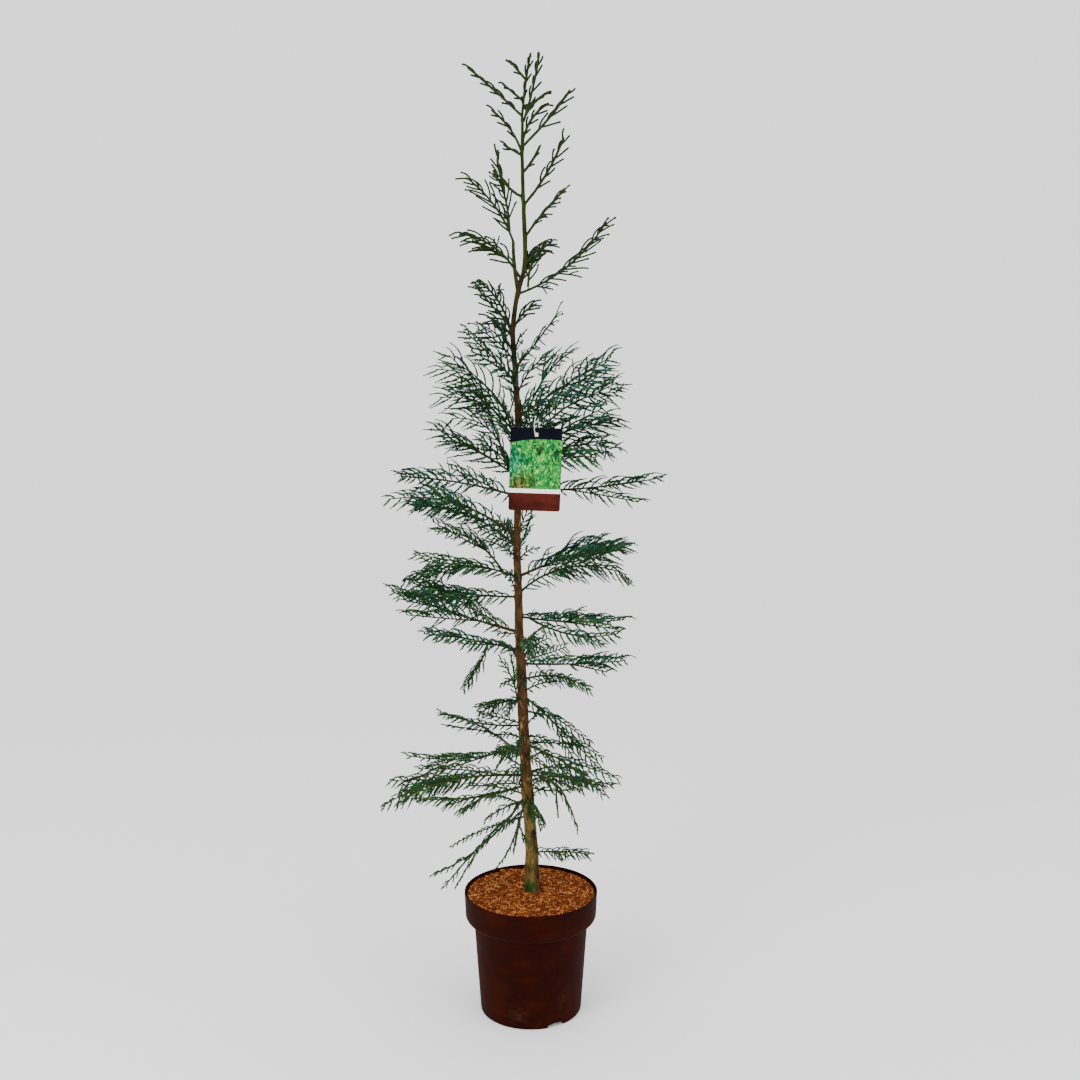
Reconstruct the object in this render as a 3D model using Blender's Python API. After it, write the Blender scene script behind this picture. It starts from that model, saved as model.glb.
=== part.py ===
"""A young coast redwood in its nursery pot, built as separate named solids.

Metres, +Z up.  The origin is the middle of the pot's flat underside, -Y is the
plant's front and the trunk climbs up +Z.  The trunk is one whole limb from its
cut foot on the potting mix to the fork of its two top shoots.  Six stout boughs
are limbs of their own.  Every spray of foliage is one solid that grows by a
seeded rule from a single stem, and that stem meets its bough or the trunk with
a hair's gap.
"""
import math
import random
from collections import namedtuple

import bmesh
import bpy
import numpy as np
from mathutils import Vector

UP = Vector((0.0, 0.0, 1.0))
GAP = 0.0003                    # clear space between two touching solids

# ---- nursery pot -----------------------------------------------------------
POT_HEIGHT = 0.339
POT_FOOT_RADIUS = 0.1385
POT_WAIST_RADIUS = 0.156        # where the plain wall meets the collar
POT_RIM_RADIUS = 0.182
COLLAR_HEIGHT = 0.080           # the stiff outer band under the rim
COLLAR_CHAMFER = 0.010
COLLAR_DRAFT = 0.003            # the collar leans out by this much
POT_WALL = 0.004
POT_SIDES = 40
NOTCH_WIDTH = 0.052             # drainage notches in the foot
NOTCH_HEIGHT = 0.013
NOTCH_DEPTH = 0.020
NOTCH_AZIMUTHS = (300, 60, 180)

# ---- potting mix -----------------------------------------------------------
MIX_LEVEL = 0.329               # the level that the trunk stands on
MIX_ROUGHNESS = 0.004
MIX_RINGS = 4
MIX_SPOKES = 20
MIX_FOOTING = 0.034             # level patch under the trunk

# ---- trunk: height, lean to +X, lean to +Y, diameter -----------------------
TRUNK_STATIONS = (
    (0.329, 0.002, 0.020, 0.038),
    (0.450, 0.002, 0.018, 0.034),
    (0.600, -0.008, 0.014, 0.032),
    (0.730, -0.016, 0.010, 0.030),
    (0.900, -0.023, 0.005, 0.027),
    (1.020, -0.029, 0.003, 0.024),
    (1.150, -0.032, 0.001, 0.0215),
    (1.280, -0.036, 0.000, 0.020),
    (1.380, -0.034, 0.000, 0.019),
    (1.500, -0.033, 0.000, 0.018),
    (1.620, -0.032, 0.000, 0.017),
    (1.750, -0.039, 0.000, 0.0145),
    (1.850, -0.045, 0.000, 0.013),
    (1.920, -0.038, 0.000, 0.013),
    (1.960, -0.030, 0.000, 0.013),
    (2.000, -0.018, 0.000, 0.0115),
    (2.050, -0.013, 0.000, 0.011),
    (2.120, -0.015, 0.000, 0.0115),
    (2.200, -0.018, 0.000, 0.010),
    (2.300, -0.020, 0.000, 0.0085),
    (2.380, -0.019, 0.000, 0.0075),
)
TRUNK_SIDES = 9
TRUNK_RING_EVERY = 0.085
FLARE_WIDTH = 0.008             # extra radius of the root flare at the foot
FLARE_HEIGHT = 0.030
FLARE_LOBES = 4

# ---- foliage ---------------------------------------------------------------
STEM_SIDES = 3
STEM_STEPS = 5
STEM_RADIUS = 0.0034            # at the root of a stem 0.3 m long
STEM_TIP_RADIUS = 0.0012
STEM_END = 0.90                 # the last stretch runs out to a point
BARE_START = 0.16               # share of a stem that carries no twigs
TWIG_EVERY = 0.039
TWIG_LENGTH = 0.080
TWIG_LEAN = 47.0                # degrees between twig and stem
TWIG_WIDTH = 0.0070             # half width at a tooth
TWIG_NOTCH = 0.0030             # half width between teeth
TWIG_RIDGE = 0.0038             # thickness of a blade
TWIG_LONG = 0.050               # a twig longer than this has two teeth, not one
ELBOW_ROOM = 0.0025             # least space between foliage of two nodes

# ---- hanging label ---------------------------------------------------------
LABEL_WIDTH = 0.132
LABEL_HEIGHT = 0.213
LABEL_THICKNESS = 0.0012
LABEL_CORNER = 0.006
LABEL_TURN = 1.9                # degrees, its foot swings to -X
SLOT_WIDTH = 0.016
SLOT_HEIGHT = 0.0045
SLOT_DROP = 0.008               # slot centre under the label's top edge
STRAP_HALF_WIDTH = 0.0075
STRAP_BAND = 0.0024
STRAP_THICKNESS = 0.0010
STRAP_SIDES = 16
STRAP_AZIMUTH = 40              # the loop's plane crosses both stem and card
STRAP_EASE = 0.0014             # play between the strap and what it hangs on
HANGER_SHARE = 0.50             # where along its stem the label hangs

# A stem springs from the trunk at a height (or from another stem at a share of
# its length), points to an azimuth, reaches out and rises by these sizes, and
# bows above its chord by arch.  lift turns its twigs up or lets them hang.
Stem = namedtuple("Stem", "start azimuth reach rise arch lift")
Mass = namedtuple("Mass", "name stems bough")


def mass(name, start, azimuth, reach, rise, arch, lift=0, side=(), bough=0.0):
    """One node of foliage: its main stem, an optional side stem, and the share
    of the main stem that is a bough of its own."""
    stems = [Stem(start, azimuth, reach, rise, arch, lift)]
    if side:
        stems.append(Stem(*side))
    return Mass(name, stems, bough)


MASSES = (
    # left side, from the foot upward
    mass("left_thin", 0.545, 150, 0.260, -0.140, 0.010, 0, (0.12, 215, 0.080, -0.130, -0.015, 0)),
    mass("left_sweep", 0.615, 212, 0.295, -0.175, -0.035, 10),
    mass("left_under", 0.635, 222, 0.350, 0.040, -0.015, -10),
    mass("left_long", 0.660, 186, 0.395, -0.075, 0.015, 0, bough=0.24),
    mass("left_wing", 0.750, 165, 0.340, -0.060, -0.025, 35, (0.10, 140, 0.270, 0.045, 0.020, 0)),
    mass("left_tuft", 0.873, 230, 0.175, 0.000, 0.010, 0, (0.12, 160, 0.050, 0.110, 0.010, 0)),
    mass("left_ladder", 1.012, 214, 0.285, 0.090, 0.000, 0, (0.35, 232, 0.090, -0.095, -0.010, 0)),
    mass("left_low_bow", 1.060, 162, 0.370, 0.090, -0.005, 25, bough=0.24),
    mass("left_green", 1.157, 190, 0.280, 0.045, -0.010, 0),
    mass("left_bow", 1.210, 172, 0.310, -0.020, 0.035, 0, (0.12, 140, 0.250, 0.085, 0.035, 30)),
    mass("left_dense_low", 1.290, 218, 0.325, 0.135, 0.030, 0),
    mass("left_dense", 1.315, 176, 0.340, 0.100, 0.040, 0, bough=0.22),
    mass("left_reach", 1.425, 152, 0.360, 0.035, 0.010, 20),
    mass("left_plume_low", 1.475, 205, 0.230, 0.140, 0.005, 0, (0.12, 148, 0.180, 0.130, 0.050, 0)),
    mass("left_plume_high", 1.570, 190, 0.205, 0.115, 0.040, 0, (0.12, 160, 0.215, 0.155, 0.050, 0)),
    mass("left_lance", 1.720, 205, 0.145, 0.135, 0.005, 0, (0.15, 130, 0.115, 0.125, 0.035, 0)),
    mass("left_crown", 1.840, 125, 0.170, 0.145, 0.025, 0),
    mass("left_top_fan", 1.983, 212, 0.175, 0.110, 0.025, 0),
    mass("left_spike", 2.190, 205, 0.070, 0.110, -0.025, 0),
    mass("left_feather", 2.298, 175, 0.075, 0.105, 0.010, 0),
    # right side, from the foot upward
    mass("right_low", 0.438, -40, 0.195, 0.045, 0.005, 0),
    mass("right_droop", 0.656, -55, 0.235, -0.080, 0.060, -20),
    mass("right_step", 0.676, 35, 0.270, -0.100, 0.000, 0),
    mass("right_sweep", 0.747, -25, 0.235, -0.110, 0.020, 0),
    mass("right_arc", 0.889, -35, 0.245, -0.160, 0.005, 0),
    mass("right_hook", 0.929, 45, 0.270, -0.080, 0.025, 0),
    mass("right_comb", 0.974, -14, 0.285, 0.025, -0.005, 45),
    mass("right_ridge", 1.103, 15, 0.295, -0.025, -0.010, 35, (0.10, -35, 0.280, -0.005, -0.025, 0)),
    mass("right_lower_fan", 1.165, -30, 0.320, 0.080, 0.045, -30),
    mass("right_fan", 1.210, 22, 0.315, 0.060, 0.015, 35, bough=0.22),
    mass("right_spear", 1.440, 8, 0.390, 0.030, -0.010, 20, bough=0.24),
    mass("right_plume_low", 1.495, -35, 0.240, 0.045, 0.015, 0, (0.12, 25, 0.250, 0.035, 0.030, 0)),
    mass("right_plume_mid", 1.540, -8, 0.265, 0.085, 0.015, 0, (0.12, 30, 0.275, 0.135, 0.040, 0)),
    mass("right_plume_high", 1.630, -25, 0.260, 0.160, 0.005, 0, (0.12, 50, 0.170, 0.145, 0.020, 0)),
    mass("right_crest", 1.760, 60, 0.220, 0.140, -0.005, 0),
    mass("right_top_long", 1.948, -8, 0.225, 0.175, -0.025, 0, (0.10, 40, 0.075, 0.120, 0.025, 0)),
    mass("right_spray", 2.090, -50, 0.150, 0.105, 0.005, 0),
    mass("right_spike", 2.170, 35, 0.125, 0.175, -0.010, 0),
    mass("right_feather", 2.315, -12, 0.120, 0.130, -0.005, 0),
    # towards the front and the back
    mass("front_low", 0.600, 262, 0.240, -0.060, 0.020, 0),
    mass("front_waist", 1.030, 278, 0.260, 0.020, 0.020, 0),
    mass("label_spray", 1.555, 296, 0.220, 0.140, 0.008, 0),
    mass("back_low", 0.700, 95, 0.300, -0.050, 0.020, 0),
    mass("back_mid", 0.960, 82, 0.300, 0.020, 0.015, 0),
    mass("back_waist", 1.245, 98, 0.320, 0.070, 0.020, 10),
    mass("back_high", 1.520, 82, 0.250, 0.130, 0.015, 0),
)

# The stub is a second trunk limb, cut off short, that carries one plume.
STUB = Stem(1.955, 175, 0.012, 0.125, -0.003, 0)
STUB_RADIUS = 0.0055
STUB_TIP_RADIUS = 0.0042
STUB_PLUME = mass("stub_plume", 0.0, 170, 0.120, 0.160, 0.015, 0, (0.12, 120, 0.085, 0.160, 0.020, 0))

# The trunk ends in two shoots, whose tips are the top of the plant.
TOP_SHOOTS = (
    Mass("top_shoot", [
        Stem(0.0, 40, 0.028, 0.165, -0.004, 0),
        Stem(0.08, 185, 0.135, 0.115, 0.002, 0),
        Stem(0.30, 160, 0.055, 0.045, 0.000, 0)], 0.0),
    Mass("second_top_shoot", [
        Stem(0.0, -10, 0.040, 0.163, 0.006, 0),
        Stem(0.10, -25, 0.068, 0.052, 0.008, 0)], 0.0),
)
TOP_SHOOT_SPREAD = 0.0045       # each shoot's foot from the trunk's middle

Paint = namedtuple("Paint", "colour roughness")
POT_PAINT = Paint((0.026, 0.017, 0.012), 0.42)
MIX_PAINT = Paint((0.230, 0.085, 0.030), 0.95)
BARK_PAINT = Paint((0.200, 0.125, 0.080), 0.90)
FOLIAGE_PAINT = Paint((0.035, 0.100, 0.055), 0.70)
LABEL_PAINT = Paint((0.080, 0.160, 0.060), 0.45)
STRAP_PAINT = Paint((0.780, 0.790, 0.760), 0.35)


# ---- scene helpers ---------------------------------------------------------
def empty_scene():
    for obj in list(bpy.data.objects):
        bpy.data.objects.remove(obj, do_unlink=True)


def material(name, paint):
    mat = bpy.data.materials.new(name)
    mat.use_nodes = True
    shader = mat.node_tree.nodes["Principled BSDF"]
    shader.inputs["Base Color"].default_value = (*paint.colour, 1.0)
    shader.inputs["Roughness"].default_value = paint.roughness
    return mat


def new_object(name, bm, paint=None):
    bmesh.ops.recalc_face_normals(bm, faces=bm.faces)
    mesh = bpy.data.meshes.new(name)
    bm.to_mesh(mesh)
    bm.free()
    obj = bpy.data.objects.new(name, mesh)
    bpy.context.scene.collection.objects.link(obj)
    if paint:
        mesh.materials.append(material(name, paint))
    return obj


def bake_modifiers(obj):
    """Swap the object's mesh for its evaluated one and drop its modifiers."""
    bpy.context.view_layer.update()
    graph = bpy.context.evaluated_depsgraph_get()
    baked = bpy.data.meshes.new_from_object(obj.evaluated_get(graph))
    obj.modifiers.clear()
    obj.data = baked


def signed_volume(faces):
    total = 0.0
    for face in faces:
        corners = [vert.co for vert in face.verts]
        for second, third in zip(corners[1:], corners[2:]):
            total += corners[0].dot(second.cross(third)) / 6.0
    return total


def drop_folds(bm):
    """Two faces on the same corners are a fold with nothing inside it."""
    found = {}
    for face in bm.faces:
        found.setdefault(frozenset(face.verts), []).append(face)
    folds = [face for faces in found.values() if len(faces) > 1 for face in faces]
    bmesh.ops.delete(bm, geom=folds, context="FACES")


def keep_main_body(obj):
    """Keep the one outer skin: loose scraps go, and sealed hollows are filled."""
    bm = bmesh.new()
    bm.from_mesh(obj.data)
    bmesh.ops.triangulate(bm, faces=bm.faces)
    drop_folds(bm)
    waiting = set(bm.faces)
    bodies = []
    while waiting:
        body = {waiting.pop()}
        edge_of_search = list(body)
        while edge_of_search:
            for edge in edge_of_search.pop().edges:
                fresh = [face for face in edge.link_faces if face not in body]
                body.update(fresh)
                edge_of_search.extend(fresh)
        waiting -= body
        bodies.append(body)
    main = max(bodies, key=signed_volume)
    spare = [face for body in bodies if body is not main for face in body]
    bmesh.ops.delete(bm, geom=spare, context="FACES")
    bm.to_mesh(obj.data)
    bm.free()


# ---- curves and limbs ------------------------------------------------------
def heading(azimuth):
    angle = math.radians(azimuth)
    return Vector((math.cos(angle), math.sin(angle), 0.0))


def stem_point(base, stem, share):
    """A point of the arched stem: its chord plus a bow square to the chord."""
    chord = math.hypot(stem.reach, stem.rise)
    bow = 4.0 * stem.arch * share * (1.0 - share)
    out = stem.reach * share - stem.rise / chord * bow
    climb = stem.rise * share + stem.reach / chord * bow
    return base + heading(stem.azimuth) * out + UP * climb


def stem_core(base, stem, start, share):
    """The middle of the stem's straight-sided skin, where a twig is rooted."""
    step = (STEM_END - start) / STEM_STEPS
    k = min(max(math.floor((share - start) / step), 0), STEM_STEPS)
    low = start + step * k
    high = low + step if k < STEM_STEPS else 1.0
    foot = stem_point(base, stem, low)
    return foot.lerp(stem_point(base, stem, high), (share - low) / (high - low))


def stem_tangent(base, stem, share):
    step = 0.01
    ahead = stem_point(base, stem, share + step)
    return (ahead - stem_point(base, stem, share - step)).normalized()


def frame_across(tangent):
    """Two directions square to the tangent: level sideways, and upward."""
    side = tangent.cross(UP)
    if side.length < 1e-4:
        side = Vector((1.0, 0.0, 0.0))
    side.normalize()
    return side, side.cross(tangent).normalized()


def ring_points(centre, across, above, radius, sides):
    turns = [math.tau * k / sides + math.pi / 2 for k in range(sides)]
    return [centre + across * (radius * math.cos(a)) + above * (radius * math.sin(a)) for a in turns]


def skin_rings(bm, rings, tip=None):
    """Close a chain of equal rings into one body, with a flat or pointed end."""
    loops = [[bm.verts.new(point) for point in ring] for ring in rings]
    for lower, upper in zip(loops, loops[1:]):
        count = len(lower)
        for k in range(count):
            bm.faces.new((lower[k], lower[(k + 1) % count], upper[(k + 1) % count], upper[k]))
    bm.faces.new(list(reversed(loops[0])))
    if tip is None:
        bm.faces.new(loops[-1])
    else:
        point = bm.verts.new(tip)
        last = loops[-1]
        for k in range(len(last)):
            bm.faces.new((last[k], last[(k + 1) % len(last)], point))
    bmesh.ops.triangulate(bm, faces=bm.faces)


# ---- trunk -----------------------------------------------------------------
def trunk_at(height):
    """Centre and radius of the trunk at a height, eased between its stations."""
    stations = TRUNK_STATIONS
    last = len(stations) - 1
    height = min(max(height, stations[0][0]), stations[last][0])
    k = 0
    while k < last - 1 and stations[k + 1][0] < height:
        k += 1
    span = stations[k + 1][0] - stations[k][0]
    u = (height - stations[k][0]) / span
    values = []
    for column in (1, 2, 3):
        before = stations[max(k - 1, 0)]
        here = stations[k]
        there = stations[k + 1]
        after = stations[min(k + 2, last)]
        slope_here = (there[column] - before[column]) / (there[0] - before[0])
        slope_there = (after[column] - here[column]) / (after[0] - here[0])
        values.append((2 * u ** 3 - 3 * u ** 2 + 1) * here[column]
                      + (u ** 3 - 2 * u ** 2 + u) * span * slope_here
                      + (3 * u ** 2 - 2 * u ** 3) * there[column]
                      + (u ** 3 - u ** 2) * span * slope_there)
    return Vector((values[0], values[1], height)), values[2] / 2


def flare_radius(radius, height, turn):
    """The root flare: wider at the foot, with a few blunt buttress lobes."""
    fade = math.exp(-(height - TRUNK_STATIONS[0][0]) / FLARE_HEIGHT)
    lobes = 0.6 + 0.4 * math.cos(FLARE_LOBES * turn + 0.7)
    return radius + FLARE_WIDTH * fade * lobes


def trunk_heights():
    foot = TRUNK_STATIONS[0][0]
    top = TRUNK_STATIONS[-1][0]
    heights = [foot, foot + 0.012, foot + 0.035]
    rings = round((top - heights[-1]) / TRUNK_RING_EVERY)
    step = (top - heights[-1]) / rings
    return heights + [heights[2] + step * (k + 1) for k in range(rings)]


def build_trunk():
    bm = bmesh.new()
    rings = []
    for height in trunk_heights():
        centre, radius = trunk_at(height)
        ring = []
        for k in range(TRUNK_SIDES):
            turn = math.tau * k / TRUNK_SIDES
            reach = flare_radius(radius, height, turn)
            ring.append(centre + Vector((math.cos(turn), math.sin(turn), 0.0)) * reach)
        rings.append(ring)
    skin_rings(bm, rings)
    return new_object("trunk", bm, BARK_PAINT)


def trunk_reach(height, azimuth):
    """How far out the bark lies on one side at the height of one of its rings."""
    centre, radius = trunk_at(height)
    return centre.dot(heading(azimuth)) + flare_radius(radius, height, math.radians(azimuth))


def trunk_face(height, azimuth, half_height):
    """How far the straight-sided bark stands out over the height of a root."""
    low, high = height - half_height, height + half_height
    rings = trunk_heights()
    far = -1.0
    for lower, upper in zip(rings, rings[1:]):
        if upper < low or lower > high:
            continue
        reach_low, reach_high = trunk_reach(lower, azimuth), trunk_reach(upper, azimuth)
        for level in (max(low, lower), min(high, upper)):
            share = (level - lower) / (upper - lower)
            far = max(far, reach_low + (reach_high - reach_low) * share)
    return far


# ---- room between nodes ----------------------------------------------------
class Room:
    """Remembers every limb as a string of beads, and says where there is space."""

    BEAD_EVERY = 0.005

    def __init__(self):
        self.places = np.zeros((0, 3))
        self.sizes = np.zeros(0)
        self.owners = np.zeros(0, dtype=int)
        self.names = []

    def beads(self, points):
        strung = []
        for start, end in zip(points, points[1:]):
            count = max(1, math.ceil((end - start).length / self.BEAD_EVERY))
            strung += [start.lerp(end, k / count) for k in range(count)]
        return np.array(strung + [points[-1]])

    def owner(self, name):
        if name not in self.names:
            self.names.append(name)
        return self.names.index(name)

    def fill(self, name, points, radius):
        beads = self.beads(points)
        self.places = np.vstack((self.places, beads))
        self.sizes = np.append(self.sizes, np.full(len(beads), radius))
        self.owners = np.append(self.owners, np.full(len(beads), self.owner(name)))

    def spare(self, name, points, radius):
        """Least space between these points and every other node's limbs."""
        others = self.owners != self.owner(name)
        beads = self.beads(points)
        between = beads[:, None, :] - self.places[None, others, :]
        distance = np.sqrt((between ** 2).sum(axis=2)) - self.sizes[None, others]
        return distance.min() - radius


def over_pot(points):
    """Whether foliage would dip into the pot, its rim or the ground beside it."""
    for point in points:
        near = math.hypot(point.x, point.y) < POT_RIM_RADIUS + 0.02
        if near and point.z < POT_HEIGHT + 0.006:
            return True
    return False


# ---- stems, boughs and their foliage ---------------------------------------
def stem_radius(stem, share):
    length = math.hypot(stem.reach, stem.rise)
    root = STEM_RADIUS * (0.62 + 0.38 * min(length / 0.30, 1.2))
    return root + (STEM_TIP_RADIUS - root) * share


def share_at_distance(base, stem, distance):
    """The share of the stem whose way out from the base reaches a distance."""
    out = heading(stem.azimuth)
    low, high = 0.0, 0.6
    for _ in range(30):
        middle = (low + high) / 2
        if (stem_point(base, stem, middle) - base).dot(out) < distance:
            low = middle
        else:
            high = middle
    return high


def limb_rings(base, stem, start, end, steps, radius_at, sides, upright_root):
    rings = []
    for k in range(steps + 1):
        share = start + (end - start) * k / steps
        side, above = frame_across(stem_tangent(base, stem, share))
        if k == 0 and upright_root:
            side, above = heading(stem.azimuth).cross(UP), UP
        rings.append(ring_points(stem_point(base, stem, share), side, above, radius_at(share), sides))
    return rings


def twig_direction(tangent, side_sign, lift, roll, lean):
    side, above = frame_across(tangent)
    turn = math.radians(lift if side_sign > 0 else 180.0 - lift) + math.radians(roll)
    across = side * math.cos(turn) + above * math.sin(turn)
    lean = math.radians(lean)
    return tangent * math.cos(lean) + across * math.sin(lean), across


def twig_blade(root, direction, forward, length):
    """A flat toothed blade with a ridge, which stands for a spray of needles."""
    face = direction.cross(forward)
    face.normalize()
    edge = face.cross(direction).normalized()
    rings = []
    teeth = 2 if length > TWIG_LONG else 1
    for k in range(teeth + 1):
        share = k / (teeth + 1)
        left = right = TWIG_NOTCH
        if k == 0:
            left = right = STEM_TIP_RADIUS
        elif k % 2:
            left = TWIG_WIDTH * (1.15 - 0.5 * share)
        else:
            right = TWIG_WIDTH * (1.15 - 0.5 * share)
        centre = root + direction * (length * share) + forward * (length * 0.10 * share ** 2)
        sweep_left = direction * (left * 0.9 if k else 0.0)
        sweep_right = direction * (right * 0.9 if k else 0.0)
        ridge = TWIG_RIDGE * (0.6 if k == 0 else 1.0 - 0.4 * share)
        rings.append([centre - edge * left + sweep_left - face * (ridge * 0.35),
                      centre + edge * right + sweep_right - face * (ridge * 0.35),
                      centre + face * (ridge * 0.65)])
    bm = bmesh.new()
    skin_rings(bm, rings, root + direction * length + forward * (length * 0.12))
    return new_object("twig", bm)


def plan_twigs(name, base, stem, start, room, rng, first_side):
    """Twigs for one stem, alternate on its two sides; those with no room go."""
    length = math.hypot(stem.reach, stem.rise)
    first = max(start, BARE_START)
    count = max(3, round(length * (1.0 - first) / TWIG_EVERY))
    roll = rng.choice((-1, 1)) * rng.uniform(18, 42)
    twigs = []
    for k in range(count):
        share = first + (1.0 - first) * (k + 0.3) / count
        tangent = stem_tangent(base, stem, share)
        side_sign = first_side if k % 2 else -first_side
        direction, _ = twig_direction(tangent, side_sign, stem.lift,
                                      roll + rng.uniform(-14, 14), TWIG_LEAN + rng.uniform(-8, 8))
        fullness = 0.55 + 0.45 * math.sin(math.pi * min(1.0, 0.25 + share * 0.85))
        size = TWIG_LENGTH * fullness * rng.uniform(0.80, 1.20) * min(1.0, 0.45 + length * 2.2)
        root = stem_core(base, stem, start, share)
        for cut in (1.0, 0.75, 0.55):
            tip = root + direction * (size * cut) + tangent * (size * cut * 0.12)
            path = [root.lerp(tip, 0.06), tip]
            if over_pot(path):
                continue
            if room.spare(name, path, TWIG_WIDTH) > ELBOW_ROOM:
                room.fill(name, path, TWIG_WIDTH)
                twigs.append((root, direction, tangent, size * cut))
                break
    return twigs


class Spray:
    """One foliage node while it is laid out: stems first, twigs when all fit."""

    def __init__(self, plan, base, start, upright_root):
        self.name = plan.name
        self.stems = []
        main = plan.stems[0]
        self.stems.append((base, main, start, upright_root))
        for side in plan.stems[1:]:
            share = start + side.start * (1.0 - start)
            self.stems.append((stem_core(base, main, start, share), side, 0.0, False))

    def stem_path(self, base, stem, start):
        steps = 12
        return [stem_point(base, stem, start + (1.0 - start) * k / steps) for k in range(steps + 1)]

    def claim_stems(self, room):
        for base, stem, start, _ in self.stems:
            room.fill(self.name, self.stem_path(base, stem, start), stem_radius(stem, 0.3))

    def stem_object(self, base, stem, start, upright_root):
        rings = limb_rings(base, stem, start, STEM_END, STEM_STEPS,
                           lambda share: stem_radius(stem, share), STEM_SIDES, upright_root)
        bm = bmesh.new()
        skin_rings(bm, rings, stem_point(base, stem, 1.0))
        return new_object(self.name, bm)

    def build(self, room, seed):
        rng = random.Random(seed)
        collection = bpy.data.collections.new(self.name)
        bpy.context.scene.collection.children.link(collection)
        body = self.stem_object(*self.stems[0])
        for parts in self.stems[1:]:
            self.move_to(collection, self.stem_object(*parts))
        for base, stem, start, _ in self.stems:
            for twig in plan_twigs(self.name, base, stem, start, room, rng, rng.choice((-1, 1))):
                self.move_to(collection, twig_blade(*twig))
        union = body.modifiers.new("fuse", "BOOLEAN")
        union.operation = "UNION"
        union.operand_type = "COLLECTION"
        union.collection = collection
        union.solver = "MANIFOLD"
        bake_modifiers(body)
        for obj in list(collection.objects):
            bpy.data.objects.remove(obj, do_unlink=True)
        bpy.data.collections.remove(collection)
        keep_main_body(body)
        body.name = self.name
        body.data.materials.append(material(self.name, FOLIAGE_PAINT))
        return body

    @staticmethod
    def move_to(collection, obj):
        bpy.context.scene.collection.objects.unlink(obj)
        collection.objects.link(obj)


def bough_radius(stem, share):
    return stem_radius(stem, 0.0) * 1.35 - 0.004 * share * 0.6


def build_bough(name, base, stem, start, end, room, radius_at):
    rings = limb_rings(base, stem, start, end, 4, radius_at, 6, True)
    bm = bmesh.new()
    skin_rings(bm, rings)
    path = [stem_point(base, stem, start + (end - start) * k / 6) for k in range(7)]
    room.fill(name, path, radius_at(start))
    return new_object(name, bm, BARK_PAINT)


def root_of(stem, radius):
    """Where a stem leaves the trunk: the axis point, and the first free share."""
    base, _ = trunk_at(stem.start)
    clear = trunk_face(stem.start, stem.azimuth, radius * 1.1) + GAP
    out = heading(stem.azimuth)
    return base, share_at_distance(base, stem, clear - base.dot(out))


def lay_out_masses(room):
    """Every bough and stem claims its space before the first twig grows."""
    sprays = []
    for plan in MASSES:
        stem = plan.stems[0]
        if plan.bough:
            def radius_at(share, stem=stem):
                return bough_radius(stem, share)
            base, start = root_of(stem, radius_at(0.0))
            build_bough(plan.name + "_bough", base, stem, start, plan.bough, room, radius_at)
            gap_share = GAP / math.hypot(stem.reach, stem.rise)
            sprays.append(Spray(plan, base, plan.bough + gap_share, False))
        else:
            base, start = root_of(stem, stem_radius(stem, 0.0))
            sprays.append(Spray(plan, base, start, True))
    sprays.append(lay_out_stub(room))
    sprays += lay_out_top()
    return sprays


def lay_out_stub(room):
    def radius_at(share):
        return STUB_RADIUS + (STUB_TIP_RADIUS - STUB_RADIUS) * share
    base, start = root_of(STUB, STUB_RADIUS)
    build_bough("pruned_stub", base, STUB, start, 1.0, room, radius_at)
    plume = STUB_PLUME.stems[0]
    foot = stem_point(base, STUB, 1.0)
    lean = stem_tangent(base, STUB, 1.0)
    foot += lean * (GAP + stem_radius(plume, 0.0))
    return Spray(STUB_PLUME, foot, 0.0, False)


def lay_out_top():
    height = TRUNK_STATIONS[-1][0]
    centre, _ = trunk_at(height)
    shoots = []
    for plan, sign in zip(TOP_SHOOTS, (-1, 1)):
        main = plan.stems[0]
        foot = centre + Vector((sign * TOP_SHOOT_SPREAD, 0.0, GAP + stem_radius(main, 0.0)))
        shoots.append(Spray(plan, foot, 0.0, False))
    return shoots


# ---- pot and potting mix ---------------------------------------------------
def turned(bm, profile, sides):
    """Spin a profile of (radius, height) points; ends on the axis are closed."""
    loops = []
    for radius, height in profile:
        if radius == 0.0:
            loops.append([bm.verts.new((0.0, 0.0, height))])
            continue
        turns = [math.tau * k / sides for k in range(sides)]
        loops.append([bm.verts.new((radius * math.cos(a), radius * math.sin(a), height)) for a in turns])
    for lower, upper in zip(loops, loops[1:]):
        for k in range(sides):
            n = (k + 1) % sides
            if len(lower) == 1:
                bm.faces.new((lower[0], upper[n], upper[k]))
            elif len(upper) == 1:
                bm.faces.new((lower[k], lower[n], upper[0]))
            else:
                bm.faces.new((lower[k], lower[n], upper[n], upper[k]))


def pot_profile():
    collar_foot = POT_HEIGHT - COLLAR_HEIGHT
    collar_radius = POT_RIM_RADIUS - COLLAR_DRAFT
    outer = [(0.0, 0.0), (POT_FOOT_RADIUS, 0.0),
             (POT_WAIST_RADIUS, collar_foot - COLLAR_CHAMFER / 2),
             (collar_radius - COLLAR_CHAMFER, collar_foot),
             (collar_radius, collar_foot + COLLAR_CHAMFER),
             (POT_RIM_RADIUS, POT_HEIGHT)]
    return outer + inner_profile(POT_WALL)


def inner_profile(wall):
    collar_foot = POT_HEIGHT - COLLAR_HEIGHT + wall
    collar_radius = POT_RIM_RADIUS - COLLAR_DRAFT - wall
    return [(POT_RIM_RADIUS - wall, POT_HEIGHT),
            (collar_radius, collar_foot + COLLAR_CHAMFER),
            (collar_radius - COLLAR_CHAMFER, collar_foot),
            (POT_WAIST_RADIUS - wall, collar_foot - COLLAR_CHAMFER / 2),
            (POT_FOOT_RADIUS - wall, wall),
            (0.0, wall)]


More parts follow.
